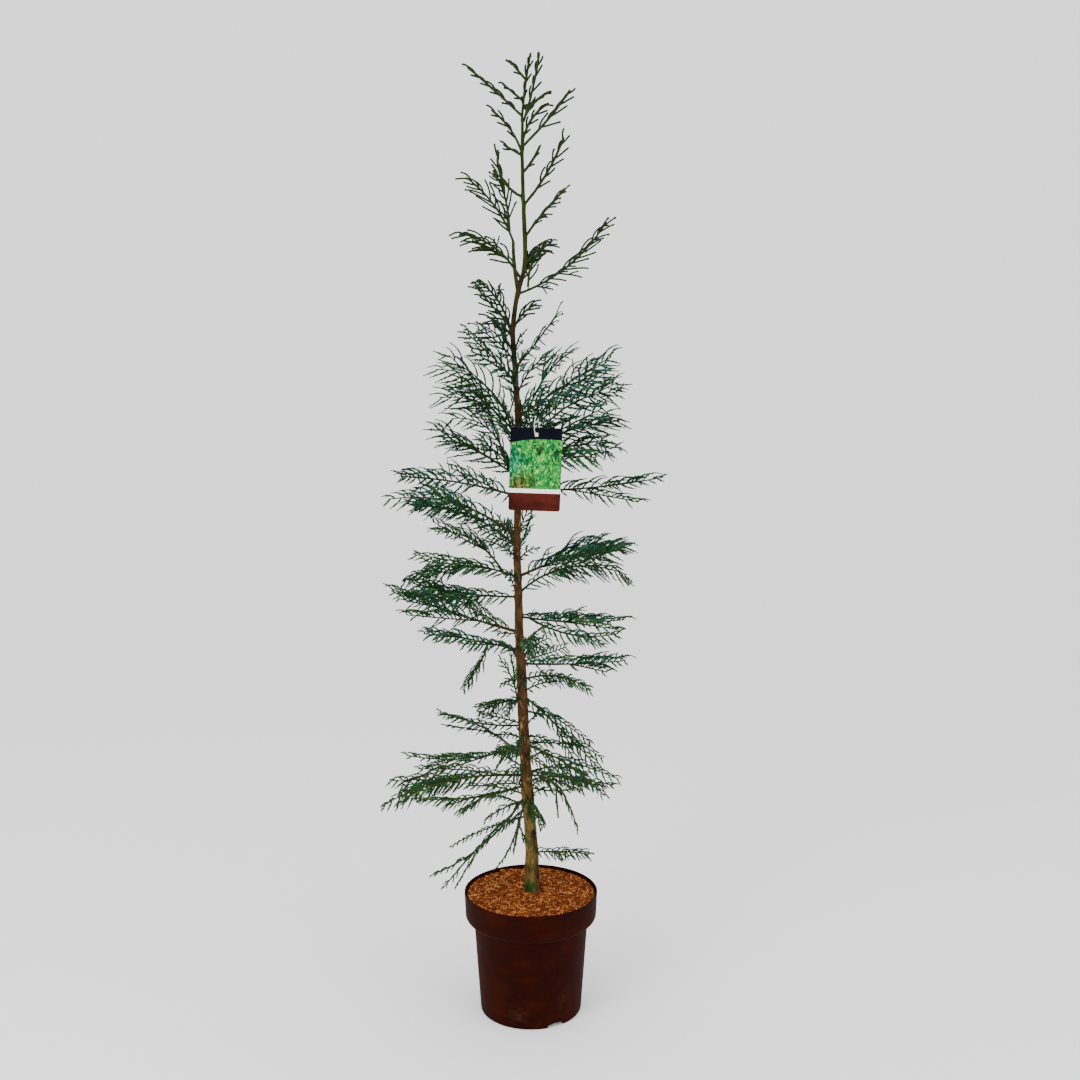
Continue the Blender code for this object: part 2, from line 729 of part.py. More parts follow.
def notch_cutter(azimuth):
    """An arched block across the foot of the wall."""
    bm = bmesh.new()
    half = NOTCH_WIDTH / 2
    arch = [(-half, -0.002), (half, -0.002), (half, NOTCH_HEIGHT * 0.5),
            (half * 0.7, NOTCH_HEIGHT * 0.9), (0.0, NOTCH_HEIGHT),
            (-half * 0.7, NOTCH_HEIGHT * 0.9), (-half, NOTCH_HEIGHT * 0.5)]
    out = heading(azimuth)
    along = UP.cross(out)
    near = POT_FOOT_RADIUS - NOTCH_DEPTH
    rings = [[out * depth + along * x + UP * z for x, z in arch] for depth in (near, near + 0.05)]
    skin_rings(bm, rings)
    return new_object("notch", bm)


def build_pot():
    bm = bmesh.new()
    turned(bm, pot_profile(), POT_SIDES)
    pot = new_object("pot", bm, POT_PAINT)
    cutters = [notch_cutter(azimuth) for azimuth in NOTCH_AZIMUTHS]
    for cutter in cutters:
        cut = pot.modifiers.new("notch", "BOOLEAN")
        cut.operation = "DIFFERENCE"
        cut.object = cutter
    bake_modifiers(pot)
    for cutter in cutters:
        bpy.data.objects.remove(cutter, do_unlink=True)
    return pot


def build_mix():
    """Fills the pot to just under its rim; the top is rough with bark chips."""
    rng = random.Random(11)
    wall = POT_WALL + GAP
    inside = [point for point in reversed(inner_profile(wall)) if point[1] < POT_HEIGHT - 0.001]
    top_radius = POT_RIM_RADIUS - wall - COLLAR_DRAFT * (POT_HEIGHT - MIX_LEVEL) / COLLAR_HEIGHT
    bm = bmesh.new()
    loops = []
    for radius, height in inside + [(top_radius, MIX_LEVEL - MIX_ROUGHNESS)]:
        if radius:
            loops.append(mix_ring(bm, Vector((0.0, 0.0, height)), radius, 0.0, rng))
    base = bm.verts.new((0.0, 0.0, inside[0][1]))
    footing, _ = trunk_at(MIX_LEVEL)
    for k in range(1, MIX_RINGS):
        share = k / MIX_RINGS
        radius = top_radius + (MIX_FOOTING - top_radius) * share
        level = MIX_LEVEL - MIX_ROUGHNESS * (1.0 - share)
        centre = Vector((footing.x * share, footing.y * share, level))
        loops.append(mix_ring(bm, centre, radius, MIX_ROUGHNESS, rng))
    centre = Vector((footing.x, footing.y, MIX_LEVEL - GAP))
    loops.append(mix_ring(bm, centre, MIX_FOOTING, 0.0, rng))
    for lower, upper in zip(loops, loops[1:]):
        for k in range(MIX_SPOKES):
            n = (k + 1) % MIX_SPOKES
            bm.faces.new((lower[k], lower[n], upper[n], upper[k]))
    for k in range(MIX_SPOKES):
        bm.faces.new((base, loops[0][(k + 1) % MIX_SPOKES], loops[0][k]))
    bm.faces.new(loops[-1])
    return new_object("potting_mix", bm, MIX_PAINT)


def mix_ring(bm, centre, radius, roughness, rng):
    """One ring of the mix, whose corners lie under the pot's own facets."""
    ring = []
    for k in range(MIX_SPOKES):
        turn = math.tau * k / MIX_SPOKES
        height = rng.uniform(-roughness, roughness * 0.6)
        ring.append(bm.verts.new(centre + Vector((radius * math.cos(turn), radius * math.sin(turn), height))))
    return ring


# ---- label -----------------------------------------------------------------
def hanger_place(spray):
    """Centre of the stem where the strap goes round it, and the stem's radius."""
    base, stem, start, _ = spray.stems[0]
    share = start + (1.0 - start) * HANGER_SHARE
    return stem_core(base, stem, start, share), stem_radius(stem, share)


def strap_sizes(spray):
    """Middle height and half height of the strap's loop."""
    hanger, radius = hanger_place(spray)
    top = hanger.z + radius * 1.2 + STRAP_EASE + GAP + STRAP_THICKNESS / 2
    half = STRAP_HALF_WIDTH * 2.3
    return top - half, half


def build_strap(spray, room):
    hanger, _ = hanger_place(spray)
    middle, half_height = strap_sizes(spray)
    centre = Vector((hanger.x, hanger.y, middle))
    wide = heading(STRAP_AZIMUTH)
    across = wide.cross(UP)
    bm = bmesh.new()
    loops = []
    for k in range(STRAP_SIDES):
        turn = math.tau * k / STRAP_SIDES
        out = wide * (STRAP_HALF_WIDTH * math.cos(turn)) + UP * (half_height * math.sin(turn))
        normal = wide * (math.cos(turn) / STRAP_HALF_WIDTH) + UP * (math.sin(turn) / half_height)
        normal.normalize()
        corners = [(-1, -1), (1, -1), (1, 1), (-1, 1)]
        loops.append([bm.verts.new(centre + out + across * (STRAP_BAND / 2 * a)
                                   + normal * (STRAP_THICKNESS / 2 * b)) for a, b in corners])
    for k, loop in enumerate(loops):
        following = loops[(k + 1) % STRAP_SIDES]
        for i in range(4):
            n = (i + 1) % 4
            bm.faces.new((loop[i], loop[n], following[n], following[i]))
    ends = [centre - UP * half_height, centre + UP * half_height]
    room.fill("label_strap", ends, STRAP_HALF_WIDTH + STRAP_BAND)
    return new_object("label_strap", bm, STRAP_PAINT)


def rounded_outline(width, height, corner, steps):
    points = []
    for cx, cz, first in ((1, 1, 0), (-1, 1, 90), (-1, -1, 180), (1, -1, 270)):
        for k in range(steps + 1):
            angle = math.radians(first + 90 * k / steps)
            points.append((cx * (width / 2 - corner) + corner * math.cos(angle),
                           cz * (height / 2 - corner) + corner * math.sin(angle)))
    return points


def build_label(spray, room):
    hanger, _ = hanger_place(spray)
    middle, half_height = strap_sizes(spray)
    strap_low = middle - half_height
    slot_top = strap_low + STRAP_THICKNESS / 2 + STRAP_EASE
    slot_centre = slot_top - SLOT_HEIGHT / 2
    top_edge = slot_centre + SLOT_DROP
    bm = bmesh.new()
    outline = rounded_outline(LABEL_WIDTH, LABEL_HEIGHT, LABEL_CORNER, 3)
    rings = [[Vector((x, y, z + top_edge - LABEL_HEIGHT / 2 - slot_centre)) for x, z in outline]
             for y in (-LABEL_THICKNESS / 2, LABEL_THICKNESS / 2)]
    skin_rings(bm, rings)
    label = new_object("label_card", bm, LABEL_PAINT)
    slot_bm = bmesh.new()
    outline = rounded_outline(SLOT_WIDTH, SLOT_HEIGHT, SLOT_HEIGHT * 0.4, 2)
    skin_rings(slot_bm, [[Vector((x, y, z)) for x, z in outline] for y in (-0.01, 0.01)])
    slot = new_object("slot", slot_bm)
    cut = label.modifiers.new("slot", "BOOLEAN")
    cut.operation = "DIFFERENCE"
    cut.object = slot
    bake_modifiers(label)
    bpy.data.objects.remove(slot, do_unlink=True)
    label.location = (hanger.x, hanger.y, slot_centre)
    label.rotation_euler = (0.0, math.radians(LABEL_TURN), 0.0)
    claim_label(label, room)
    return label


def claim_label(label, room):
    """No twig may cross the card, so its face is strung with beads."""
    bpy.context.view_layer.update()
    columns = 7
    for k in range(columns + 1):
        x = LABEL_WIDTH * (k / columns - 0.5)
        top = label.matrix_world @ Vector((x, 0.0, 0.0))
        foot = label.matrix_world @ Vector((x, 0.0, -LABEL_HEIGHT + SLOT_DROP))
        room.fill("label_card", [top, foot], LABEL_WIDTH / columns * 0.6)


# ---- the whole plant -------------------------------------------------------
def claim_trunk(room):
    heights = trunk_heights()
    for low, high in zip(heights, heights[1:]):
        start, radius = trunk_at(low)
        end, _ = trunk_at(high)
        room.fill("trunk", [start, end], radius + 0.001)


def main():
    empty_scene()
    room = Room()
    build_pot()
    build_mix()
    build_trunk()
    claim_trunk(room)
    sprays = lay_out_masses(room)
    for spray in sprays:
        spray.claim_stems(room)
    hanger = next(spray for spray in sprays if spray.name == "label_spray")
    build_strap(hanger, room)
    build_label(hanger, room)
    for number, spray in enumerate(sprays):
        spray.build(room, seed=100 + number)
    return sprays, room


main()
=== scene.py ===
# %% [markdown]
# # A young redwood in its nursery pot
# This lesson dresses a imported model of a potted conifer. The model's solids give
# the trunk, its stout boughs, the sprays of foliage, the pot and a hanging label.
# They could be shown as they are, but a spray would then be a plain slab. Here
# each one is made again with bark, twigs, needles and worn plastic, in the same
# place and at the same size, so that the dressed plant can stand in for it.
#
# We read the frame first. Every length is in metres, +Z is up, and the origin is
# the middle of the pot's underside. The imported model's box is kept, so that no
# shoot reaches past it.

# %% Load the imported model
import math
import random
from collections import namedtuple

import bmesh
import bpy
import numpy as np
from mathutils import Matrix, Vector, noise


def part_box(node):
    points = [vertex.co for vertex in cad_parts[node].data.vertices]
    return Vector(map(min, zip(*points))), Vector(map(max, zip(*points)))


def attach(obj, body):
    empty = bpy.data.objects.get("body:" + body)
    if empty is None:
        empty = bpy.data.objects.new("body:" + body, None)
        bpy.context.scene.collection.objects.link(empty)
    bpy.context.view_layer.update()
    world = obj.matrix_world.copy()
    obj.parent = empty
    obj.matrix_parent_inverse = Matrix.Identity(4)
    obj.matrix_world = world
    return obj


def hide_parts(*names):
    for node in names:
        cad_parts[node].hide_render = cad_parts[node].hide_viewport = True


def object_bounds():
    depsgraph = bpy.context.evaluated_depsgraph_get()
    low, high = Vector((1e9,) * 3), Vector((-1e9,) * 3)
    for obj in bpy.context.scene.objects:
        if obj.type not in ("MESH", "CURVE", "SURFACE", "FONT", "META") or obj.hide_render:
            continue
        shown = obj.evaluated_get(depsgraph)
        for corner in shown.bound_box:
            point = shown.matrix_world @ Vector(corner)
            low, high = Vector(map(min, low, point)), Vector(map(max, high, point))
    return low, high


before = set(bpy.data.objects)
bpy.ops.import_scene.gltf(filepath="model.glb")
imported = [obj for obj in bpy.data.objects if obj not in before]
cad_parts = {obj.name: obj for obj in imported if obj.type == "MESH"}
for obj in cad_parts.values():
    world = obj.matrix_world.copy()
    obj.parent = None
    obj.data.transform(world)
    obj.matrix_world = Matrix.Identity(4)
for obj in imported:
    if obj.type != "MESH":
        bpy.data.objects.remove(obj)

cad_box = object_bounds()
cad_low, cad_high = (np.array(corner) for corner in cad_box)
print("packed model:", len(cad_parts), "nodes, box", cad_low.round(3), cad_high.round(3))

# %% [markdown]
# ## Camera
# A tall plant is seen whole from a few metres away, with the lens at about two
# thirds of its height and tipped down a little. The tilt is what shows the round
# top of the potting mix as an ellipse. A Track To constraint could aim the
# camera, but a place and a tilt given as numbers are easier to read and change.

# %% Camera
CAMERA_PLACE = (0.025, -3.600, 1.862)
CAMERA_TILT = 8.73              # degrees below the horizon
CAMERA_LENS = 46.03             # millimetres
SENSOR_WIDTH = 36.0             # millimetres

camera = bpy.data.objects.new("camera", bpy.data.cameras.new("camera"))
camera.location = CAMERA_PLACE
camera.rotation_euler = (math.radians(90.0 - CAMERA_TILT), 0.0, 0.0)
camera.data.lens = CAMERA_LENS
camera.data.sensor_width = SENSOR_WIDTH
bpy.context.scene.collection.objects.link(camera)
bpy.context.scene.camera = camera
print("camera looks down by", CAMERA_TILT, "degrees")

# %% [markdown]
# ## Floor
# A nursery shows its plants on white. A flat plane would leave a horizon behind
# the tree. A floor that sweeps up into a wall has no corner and no line, so we
# draw one profile with a quarter circle in it and widen it to both sides.

# %% Floor
SWEEP_WIDTH = 16.0
SWEEP_FRONT = -9.0
SWEEP_WALL = 7.0
SWEEP_TOP = 9.0
SWEEP_BEND = 2.5                # radius of the quarter circle
SWEEP_STEPS = 12


def sweep_mesh():
    """A floor that bends up into a wall: one profile, drawn out sideways."""
    profile = [(SWEEP_FRONT, 0.0)]
    for k in range(SWEEP_STEPS + 1):
        turn = math.radians(90.0 * k / SWEEP_STEPS)
        profile.append((SWEEP_WALL - SWEEP_BEND + SWEEP_BEND * math.sin(turn),
                        SWEEP_BEND - SWEEP_BEND * math.cos(turn)))
    profile.append((SWEEP_WALL, SWEEP_TOP))
    points = [(x, y, z) for x in (-SWEEP_WIDTH / 2, SWEEP_WIDTH / 2) for y, z in profile]
    count = len(profile)
    faces = [(k, k + 1, count + k + 1, count + k) for k in range(count - 1)]
    mesh = bpy.data.meshes.new("floor")
    mesh.from_pydata(points, [], [tuple(reversed(face)) for face in faces])
    for face in mesh.polygons:
        face.use_smooth = True
    return mesh


floor = bpy.data.objects.new("floor", sweep_mesh())
bpy.context.scene.collection.objects.link(floor)
print("floor:", len(floor.data.polygons), "faces")

# %% [markdown]
# ## Light
# Thin needles need light from all round, or the crown turns into a black shape.
# Small lamps would also draw a hard shadow of every twig on the pot. So a bright
# sky does most of the work. A large soft lamp at the upper left gives the pot and
# the bark their round shading, and a weaker one keeps the right side open.

# %% Light
SKY_STRENGTH = 1.6
LAMPS = (                       # name, place, aim, size, watts
    ("key", (-2.6, -3.4, 3.6), (0.0, 0.0, 1.1), 2.2, 150),
    ("fill", (3.2, -2.6, 2.2), (0.0, 0.0, 1.2), 2.5, 55),
)


def soft_lamp(name, place, aim, size, watts):
    """A square area lamp turned towards a point of the plant."""
    lamp = bpy.data.objects.new(name, bpy.data.lights.new(name, "AREA"))
    lamp.data.size = size
    lamp.data.energy = watts
    lamp.location = place
    lamp.rotation_euler = (Vector(aim) - Vector(place)).to_track_quat("-Z", "Y").to_euler()
    bpy.context.scene.collection.objects.link(lamp)


for row in LAMPS:
    soft_lamp(*row)
sky = bpy.data.worlds.new("sky")
sky.use_nodes = True
sky_light = sky.node_tree.nodes["Background"]
sky_light.inputs["Color"].default_value = (1.0, 1.0, 1.0, 1.0)
sky_light.inputs["Strength"].default_value = SKY_STRENGTH
bpy.context.scene.world = sky
print(len(LAMPS), "lamps under a sky of strength", SKY_STRENGTH)

# %% [markdown]
# ## A small kit for finishes
# Every surface here is natural or worn, so its colour wanders. A painted image
# would need each mesh to be unwrapped, and the needles are far too many for that.
# So a finish starts from Blender's Principled shader and gets noise, ramps that
# turn the noise into colours, and bumps. Writing those steps as methods keeps
# each finish to a few lines that read like a recipe. All pieces have their origin
# at the foot of the pot, so Object coordinates measure real metres, and noise of
# scale 100 has grains about 1 cm across.

# %% Finish kit
NOISE_LOW, NOISE_HIGH = 0.3, 0.7        # most of a noise lies between these
MIX_FIRST, MIX_SECOND, MIX_RESULT = 6, 7, 2     # colour sockets of a Mix node


class Finish:
    """A named material whose nodes are chained by short calls."""

    def __init__(self, name, colour, roughness, specular=0.5):
        self.material = bpy.data.materials.new(name)
        self.material.use_nodes = True
        self.tree = self.material.node_tree
        self.shader = self.tree.nodes["Principled BSDF"]
        self.fill(self.shader, {"Base Color": (*colour, 1.0), "Roughness": roughness,
                                "Specular IOR Level": specular})
        self.place = self.add("ShaderNodeTexCoord", {}, "Object")

    def fill(self, node, inputs):
        """Wire the outputs of other nodes in, and type plain values in."""
        for name, value in inputs.items():
            if isinstance(value, bpy.types.NodeSocket):
                self.tree.links.new(value, node.inputs[name])
            else:
                node.inputs[name].default_value = value

    def add(self, kind, inputs, output, **settings):
        """One new node with its inputs filled; we go on with one of its outputs."""
        node = self.tree.nodes.new(kind)
        for name, value in settings.items():
            setattr(node, name, value)
        self.fill(node, inputs)
        return node.outputs[output]

    def noise(self, scale, detail=3.0, stretch=None, distortion=0.0):
        """Cloudy grain; a stretch below 1 along x, y or z draws the grains out."""
        place = self.place
        if stretch:
            place = self.add("ShaderNodeMapping", {"Scale": stretch, "Vector": place}, "Vector")
        return self.add("ShaderNodeTexNoise", {"Vector": place, "Scale": scale, "Detail": detail,
                                               "Distortion": distortion}, "Fac")

    def height(self, low, high):
        """0 at one height of the plant, 1 at another."""
        return self.spread(self.add("ShaderNodeSeparateXYZ", {0: self.place}, "Z"), low, high)

    def near(self, spot, radius):
        """1 at one spot of the plant, falling to 0 at a radius."""
        apart = self.add("ShaderNodeVectorMath", {0: self.place, 1: spot}, "Value",
                         operation="DISTANCE")
        return self.spread(apart, 0.0, radius, 1.0, 0.0)

    def spread(self, source, low, high, first=0.0, last=1.0):
        """Move the values between low and high to between first and last."""
        return self.add("ShaderNodeMapRange", {"Value": source, "From Min": low, "From Max": high,
                                               "To Min": first, "To Max": last}, "Result")

    def times(self, first, second):
        return self.add("ShaderNodeMath", {0: first, 1: second}, 0, operation="MULTIPLY")

    def ramp(self, source, *stops):
        """Colours at shares from 0 to 1; each stop is (share, colour)."""
        colours = self.add("ShaderNodeValToRGB", {"Fac": source}, "Color")
        elements = colours.node.color_ramp.elements
        elements.remove(elements[1])
        for k, (share, colour) in enumerate(stops):
            stop = elements[0] if k == 0 else elements.new(share)
            stop.position = share
            stop.color = (*colour, 1.0)
        return colours

    def blend(self, share, first, second):
        """The first colour where share is 0, the second where it is 1."""
        return self.add("ShaderNodeMix", {"Factor": share, MIX_FIRST: first, MIX_SECOND: second},
                        MIX_RESULT, data_type="RGBA")

    def colour(self, source):
        self.fill(self.shader, {"Base Color": source})

    def roughness(self, source, low, high):
        self.fill(self.shader, {"Roughness": self.spread(source, NOISE_LOW, NOISE_HIGH, low, high)})

    def bump(self, source, strength, depth):
        raised = self.add("ShaderNodeBump", {"Height": source, "Strength": strength,
                                             "Distance": depth}, "Normal")
        self.fill(self.shader, {"Normal": raised})


def rgb(red, green, blue):
    """A screen colour (0 to 255) as the linear values that shaders use."""
    return tuple(((v / 255 + 0.055) / 1.055) ** 2.4 if v > 10 else v / 255 / 12.92
                 for v in (red, green, blue))


BLACK, WHITE = rgb(0, 0, 0), rgb(255, 255, 255)
print("white paper as a shader sees it:", tuple(round(v, 2) for v in rgb(246, 246, 246)))

# %% [markdown]
# ## Paint for the floor
# A studio floor is matt paper. A shiny one would mirror the pot, so it gets a
# high roughness, little gloss and the faintest of bumps.

# %% Floor paint
floor_paint = Finish("studio_floor", rgb(246, 246, 246), 0.85, 0.2)
floor_paint.bump(floor_paint.noise(40.0), 0.02, 0.001)
floor.data.materials.append(floor_paint.material)
print("floor paint:", len(floor_paint.tree.nodes), "nodes")

# %% [markdown]
# ## Meshes from arrays
# The crown carries well over a hundred thousand needles. Making them one object
# at a time would take hours. We work out the corners of all of them at once with
# numpy and hand Blender one list of corners and one list of triangles. The same
# function makes the trunk, the twigs and the chips on the pot. A second one shows
# a mesh: it rides on the plant's one body and hides the imported nodes that it
# stands for, or both would show.

# %% Triangle meshes
def triangle_mesh(name, points, triangles, finishes, which=None, smooth=False):
    """One mesh from (n, 3) corners and (m, 3) corner numbers."""
    mesh = bpy.data.meshes.new(name)
    mesh.vertices.add(len(points))
    mesh.vertices.foreach_set("co", np.asarray(points, np.float32).ravel())
    mesh.loops.add(triangles.size)
    mesh.loops.foreach_set("vertex_index", np.asarray(triangles, np.int32).ravel())
    mesh.polygons.add(len(triangles))
    mesh.polygons.foreach_set("loop_start", np.arange(0, triangles.size, 3, dtype=np.int32))
    if which is not None:
        mesh.polygons.foreach_set("material_index", np.asarray(which, np.int32))
    mesh.polygons.foreach_set("use_smooth", np.full(len(triangles), smooth))
    for finish in finishes:
        mesh.materials.append(finish.material)
    mesh.update(calc_edges=True)
    mesh.validate()
    return mesh


def piece(name, mesh, nodes=()):
    """Show a mesh as part of the plant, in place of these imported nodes."""
    obj = bpy.data.objects.new(name, mesh)
    bpy.context.scene.collection.objects.link(obj)
    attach(obj, "root")
    if nodes:
        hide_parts(*nodes)
    triangles = sum(len(face.vertices) - 2 for face in mesh.polygons)
    print(f"{name}: {triangles} triangles")
    return obj


# %% [markdown]
# ## Tubes
# Trunk, boughs, stems, twigs, buds and bark chips are all tubes that get thick
# and thin: rings of corners along a path, closed at both ends. A curve with a
# bevel draws a tube too, but its radius is the same all round and each curve is
# an object of its own. Rings in one array can hold thousands of tubes, and each
# corner may stand out by itself where there is bark.

# %% Tubes
STEEP = 0.9                     # rise of a path that counts as upright


def tube_triangles(count, steps, sides):
    """Corner numbers for many closed tubes with the same rings and sides."""
    ring = np.arange(sides)
    following = (ring + 1) % sides
    faces = []
    for step in range(steps - 1):
        low, high = step * sides, (step + 1) * sides
        faces.append(np.stack((low + ring, low + following, high + following), axis=1))
        faces.append(np.stack((low + ring, high + following, high + ring), axis=1))
    last = (steps - 1) * sides
    fan = np.arange(1, sides - 1)
    faces.append(np.stack((0 * fan, fan + 1, fan), axis=1))
    faces.append(np.stack((0 * fan + last, last + fan, last + fan + 1), axis=1))
    one = np.vstack(faces)
    shift = np.arange(count)[:, None, None] * steps * sides
    return (one[None] + shift).reshape(-1, 3)


def unit(vectors):
    return vectors / np.maximum(np.linalg.norm(vectors, axis=-1, keepdims=True), 1e-9)


def tube_points(paths, radii, sides, relief=None):
    """Rings round (count, steps, 3) paths with (count, steps) radii."""
    ahead = unit(np.gradient(paths, axis=1))
    steep = np.abs(ahead[:, :, 2].mean(axis=1)) > STEEP
    guide = np.where(steep[:, None, None], (1.0, 0.0, 0.0), (0.0, 0.0, 1.0))
    side = unit(np.cross(ahead, guide))
    above = np.cross(side, ahead)
    turn = math.tau * np.arange(sides) / sides
    spokes = (side[:, :, None, :] * np.cos(turn)[None, None, :, None]
              + above[:, :, None, :] * np.sin(turn)[None, None, :, None])
    reach = radii[:, :, None] * np.ones(sides)
    if relief is not None:
        reach = reach * relief
    return paths[:, :, None, :] + spokes * reach[..., None]


print("a twig of 7 rings and 3 sides has", len(tube_triangles(1, 7, 3)), "triangles")

# %% [markdown]
# ## Where the trunk runs
# The trunk is one leader that was trained up a cane, so it wanders by a few
# centimetres. It is 38 mm thick at the foot and 8 mm where its top forks. A
# curve drawn by hand would miss the solid under it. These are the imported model's
# own stations, with the same easing between them, so the bark lies over it.

# %% Trunk stations
TRUNK_STATIONS = (              # height, lean to +X, lean to +Y, diameter
    (0.329, 0.002, 0.020, 0.038),
    (0.450, 0.002, 0.018, 0.034),
    (0.600, -0.008, 0.014, 0.032),
    (0.730, -0.016, 0.010, 0.030),
    (0.900, -0.023, 0.005, 0.027),
    (1.020, -0.029, 0.003, 0.024),
    (1.150, -0.032, 0.001, 0.0215),
    (1.280, -0.036, 0.000, 0.020),
    (1.380, -0.034, 0.000, 0.019),
    (1.500, -0.033, 0.000, 0.018),
    (1.620, -0.032, 0.000, 0.017),
    (1.750, -0.039, 0.000, 0.0145),
    (1.850, -0.045, 0.000, 0.013),
    (1.920, -0.038, 0.000, 0.013),
    (1.960, -0.030, 0.000, 0.013),
    (2.000, -0.018, 0.000, 0.0115),
    (2.050, -0.013, 0.000, 0.011),
    (2.120, -0.015, 0.000, 0.0115),
    (2.200, -0.018, 0.000, 0.010),
    (2.300, -0.020, 0.000, 0.0085),
    (2.380, -0.019, 0.000, 0.0075),
)


def trunk_at(height):
    """Centre and radius of the trunk at a height, eased between its stations."""
    stations = TRUNK_STATIONS
    last = len(stations) - 1
    height = min(max(height, stations[0][0]), stations[last][0])
    k = 0
    while k < last - 1 and stations[k + 1][0] < height:
        k += 1
    span = stations[k + 1][0] - stations[k][0]
    u = (height - stations[k][0]) / span
    values = []
    for column in (1, 2, 3):
        before, here = stations[max(k - 1, 0)], stations[k]
        there, after = stations[k + 1], stations[min(k + 2, last)]
        slope_here = (there[column] - before[column]) / (there[0] - before[0])
        slope_there = (after[column] - here[column]) / (after[0] - here[0])
        values.append((2 * u ** 3 - 3 * u ** 2 + 1) * here[column]
                      + (u ** 3 - 2 * u ** 2 + u) * span * slope_here
                      + (3 * u ** 2 - 2 * u ** 3) * there[column]
                      + (u ** 3 - u ** 2) * span * slope_there)
    return np.array((values[0], values[1], height)), values[2] / 2


print("trunk thickness at 1 m:", round(trunk_at(1.0)[1] * 2000, 1), "mm")

# %% [markdown]
# ## The sprays of foliage, as stems
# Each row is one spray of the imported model: a name, the height on the trunk it
# springs from, the compass direction it takes, how far it reaches and rises, and
# how much it bows above its chord. The next number turns its twigs up like a
# comb or lets them hang. Some sprays have a side stem, which starts at a share of
# the main one, some have a thick bough along their first part, and one lets its
# tip drop. We could pick each spray's shape off its solid, but a row of plain
# numbers is shorter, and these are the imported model's own.

# %% Spray rows
Stem = namedtuple("Stem", "start azimuth reach rise arch lift drop", defaults=(0.0,))
Mass = namedtuple("Mass", "name stems bough")


def mass(name, start, azimuth, reach, rise, arch, lift=0, side=(), bough=0.0, drop=0.0):
    stems = [Stem(start, azimuth, reach, rise, arch, lift, drop)]
    if side:
        stems.append(Stem(*side))
    return Mass(name, stems, bough)


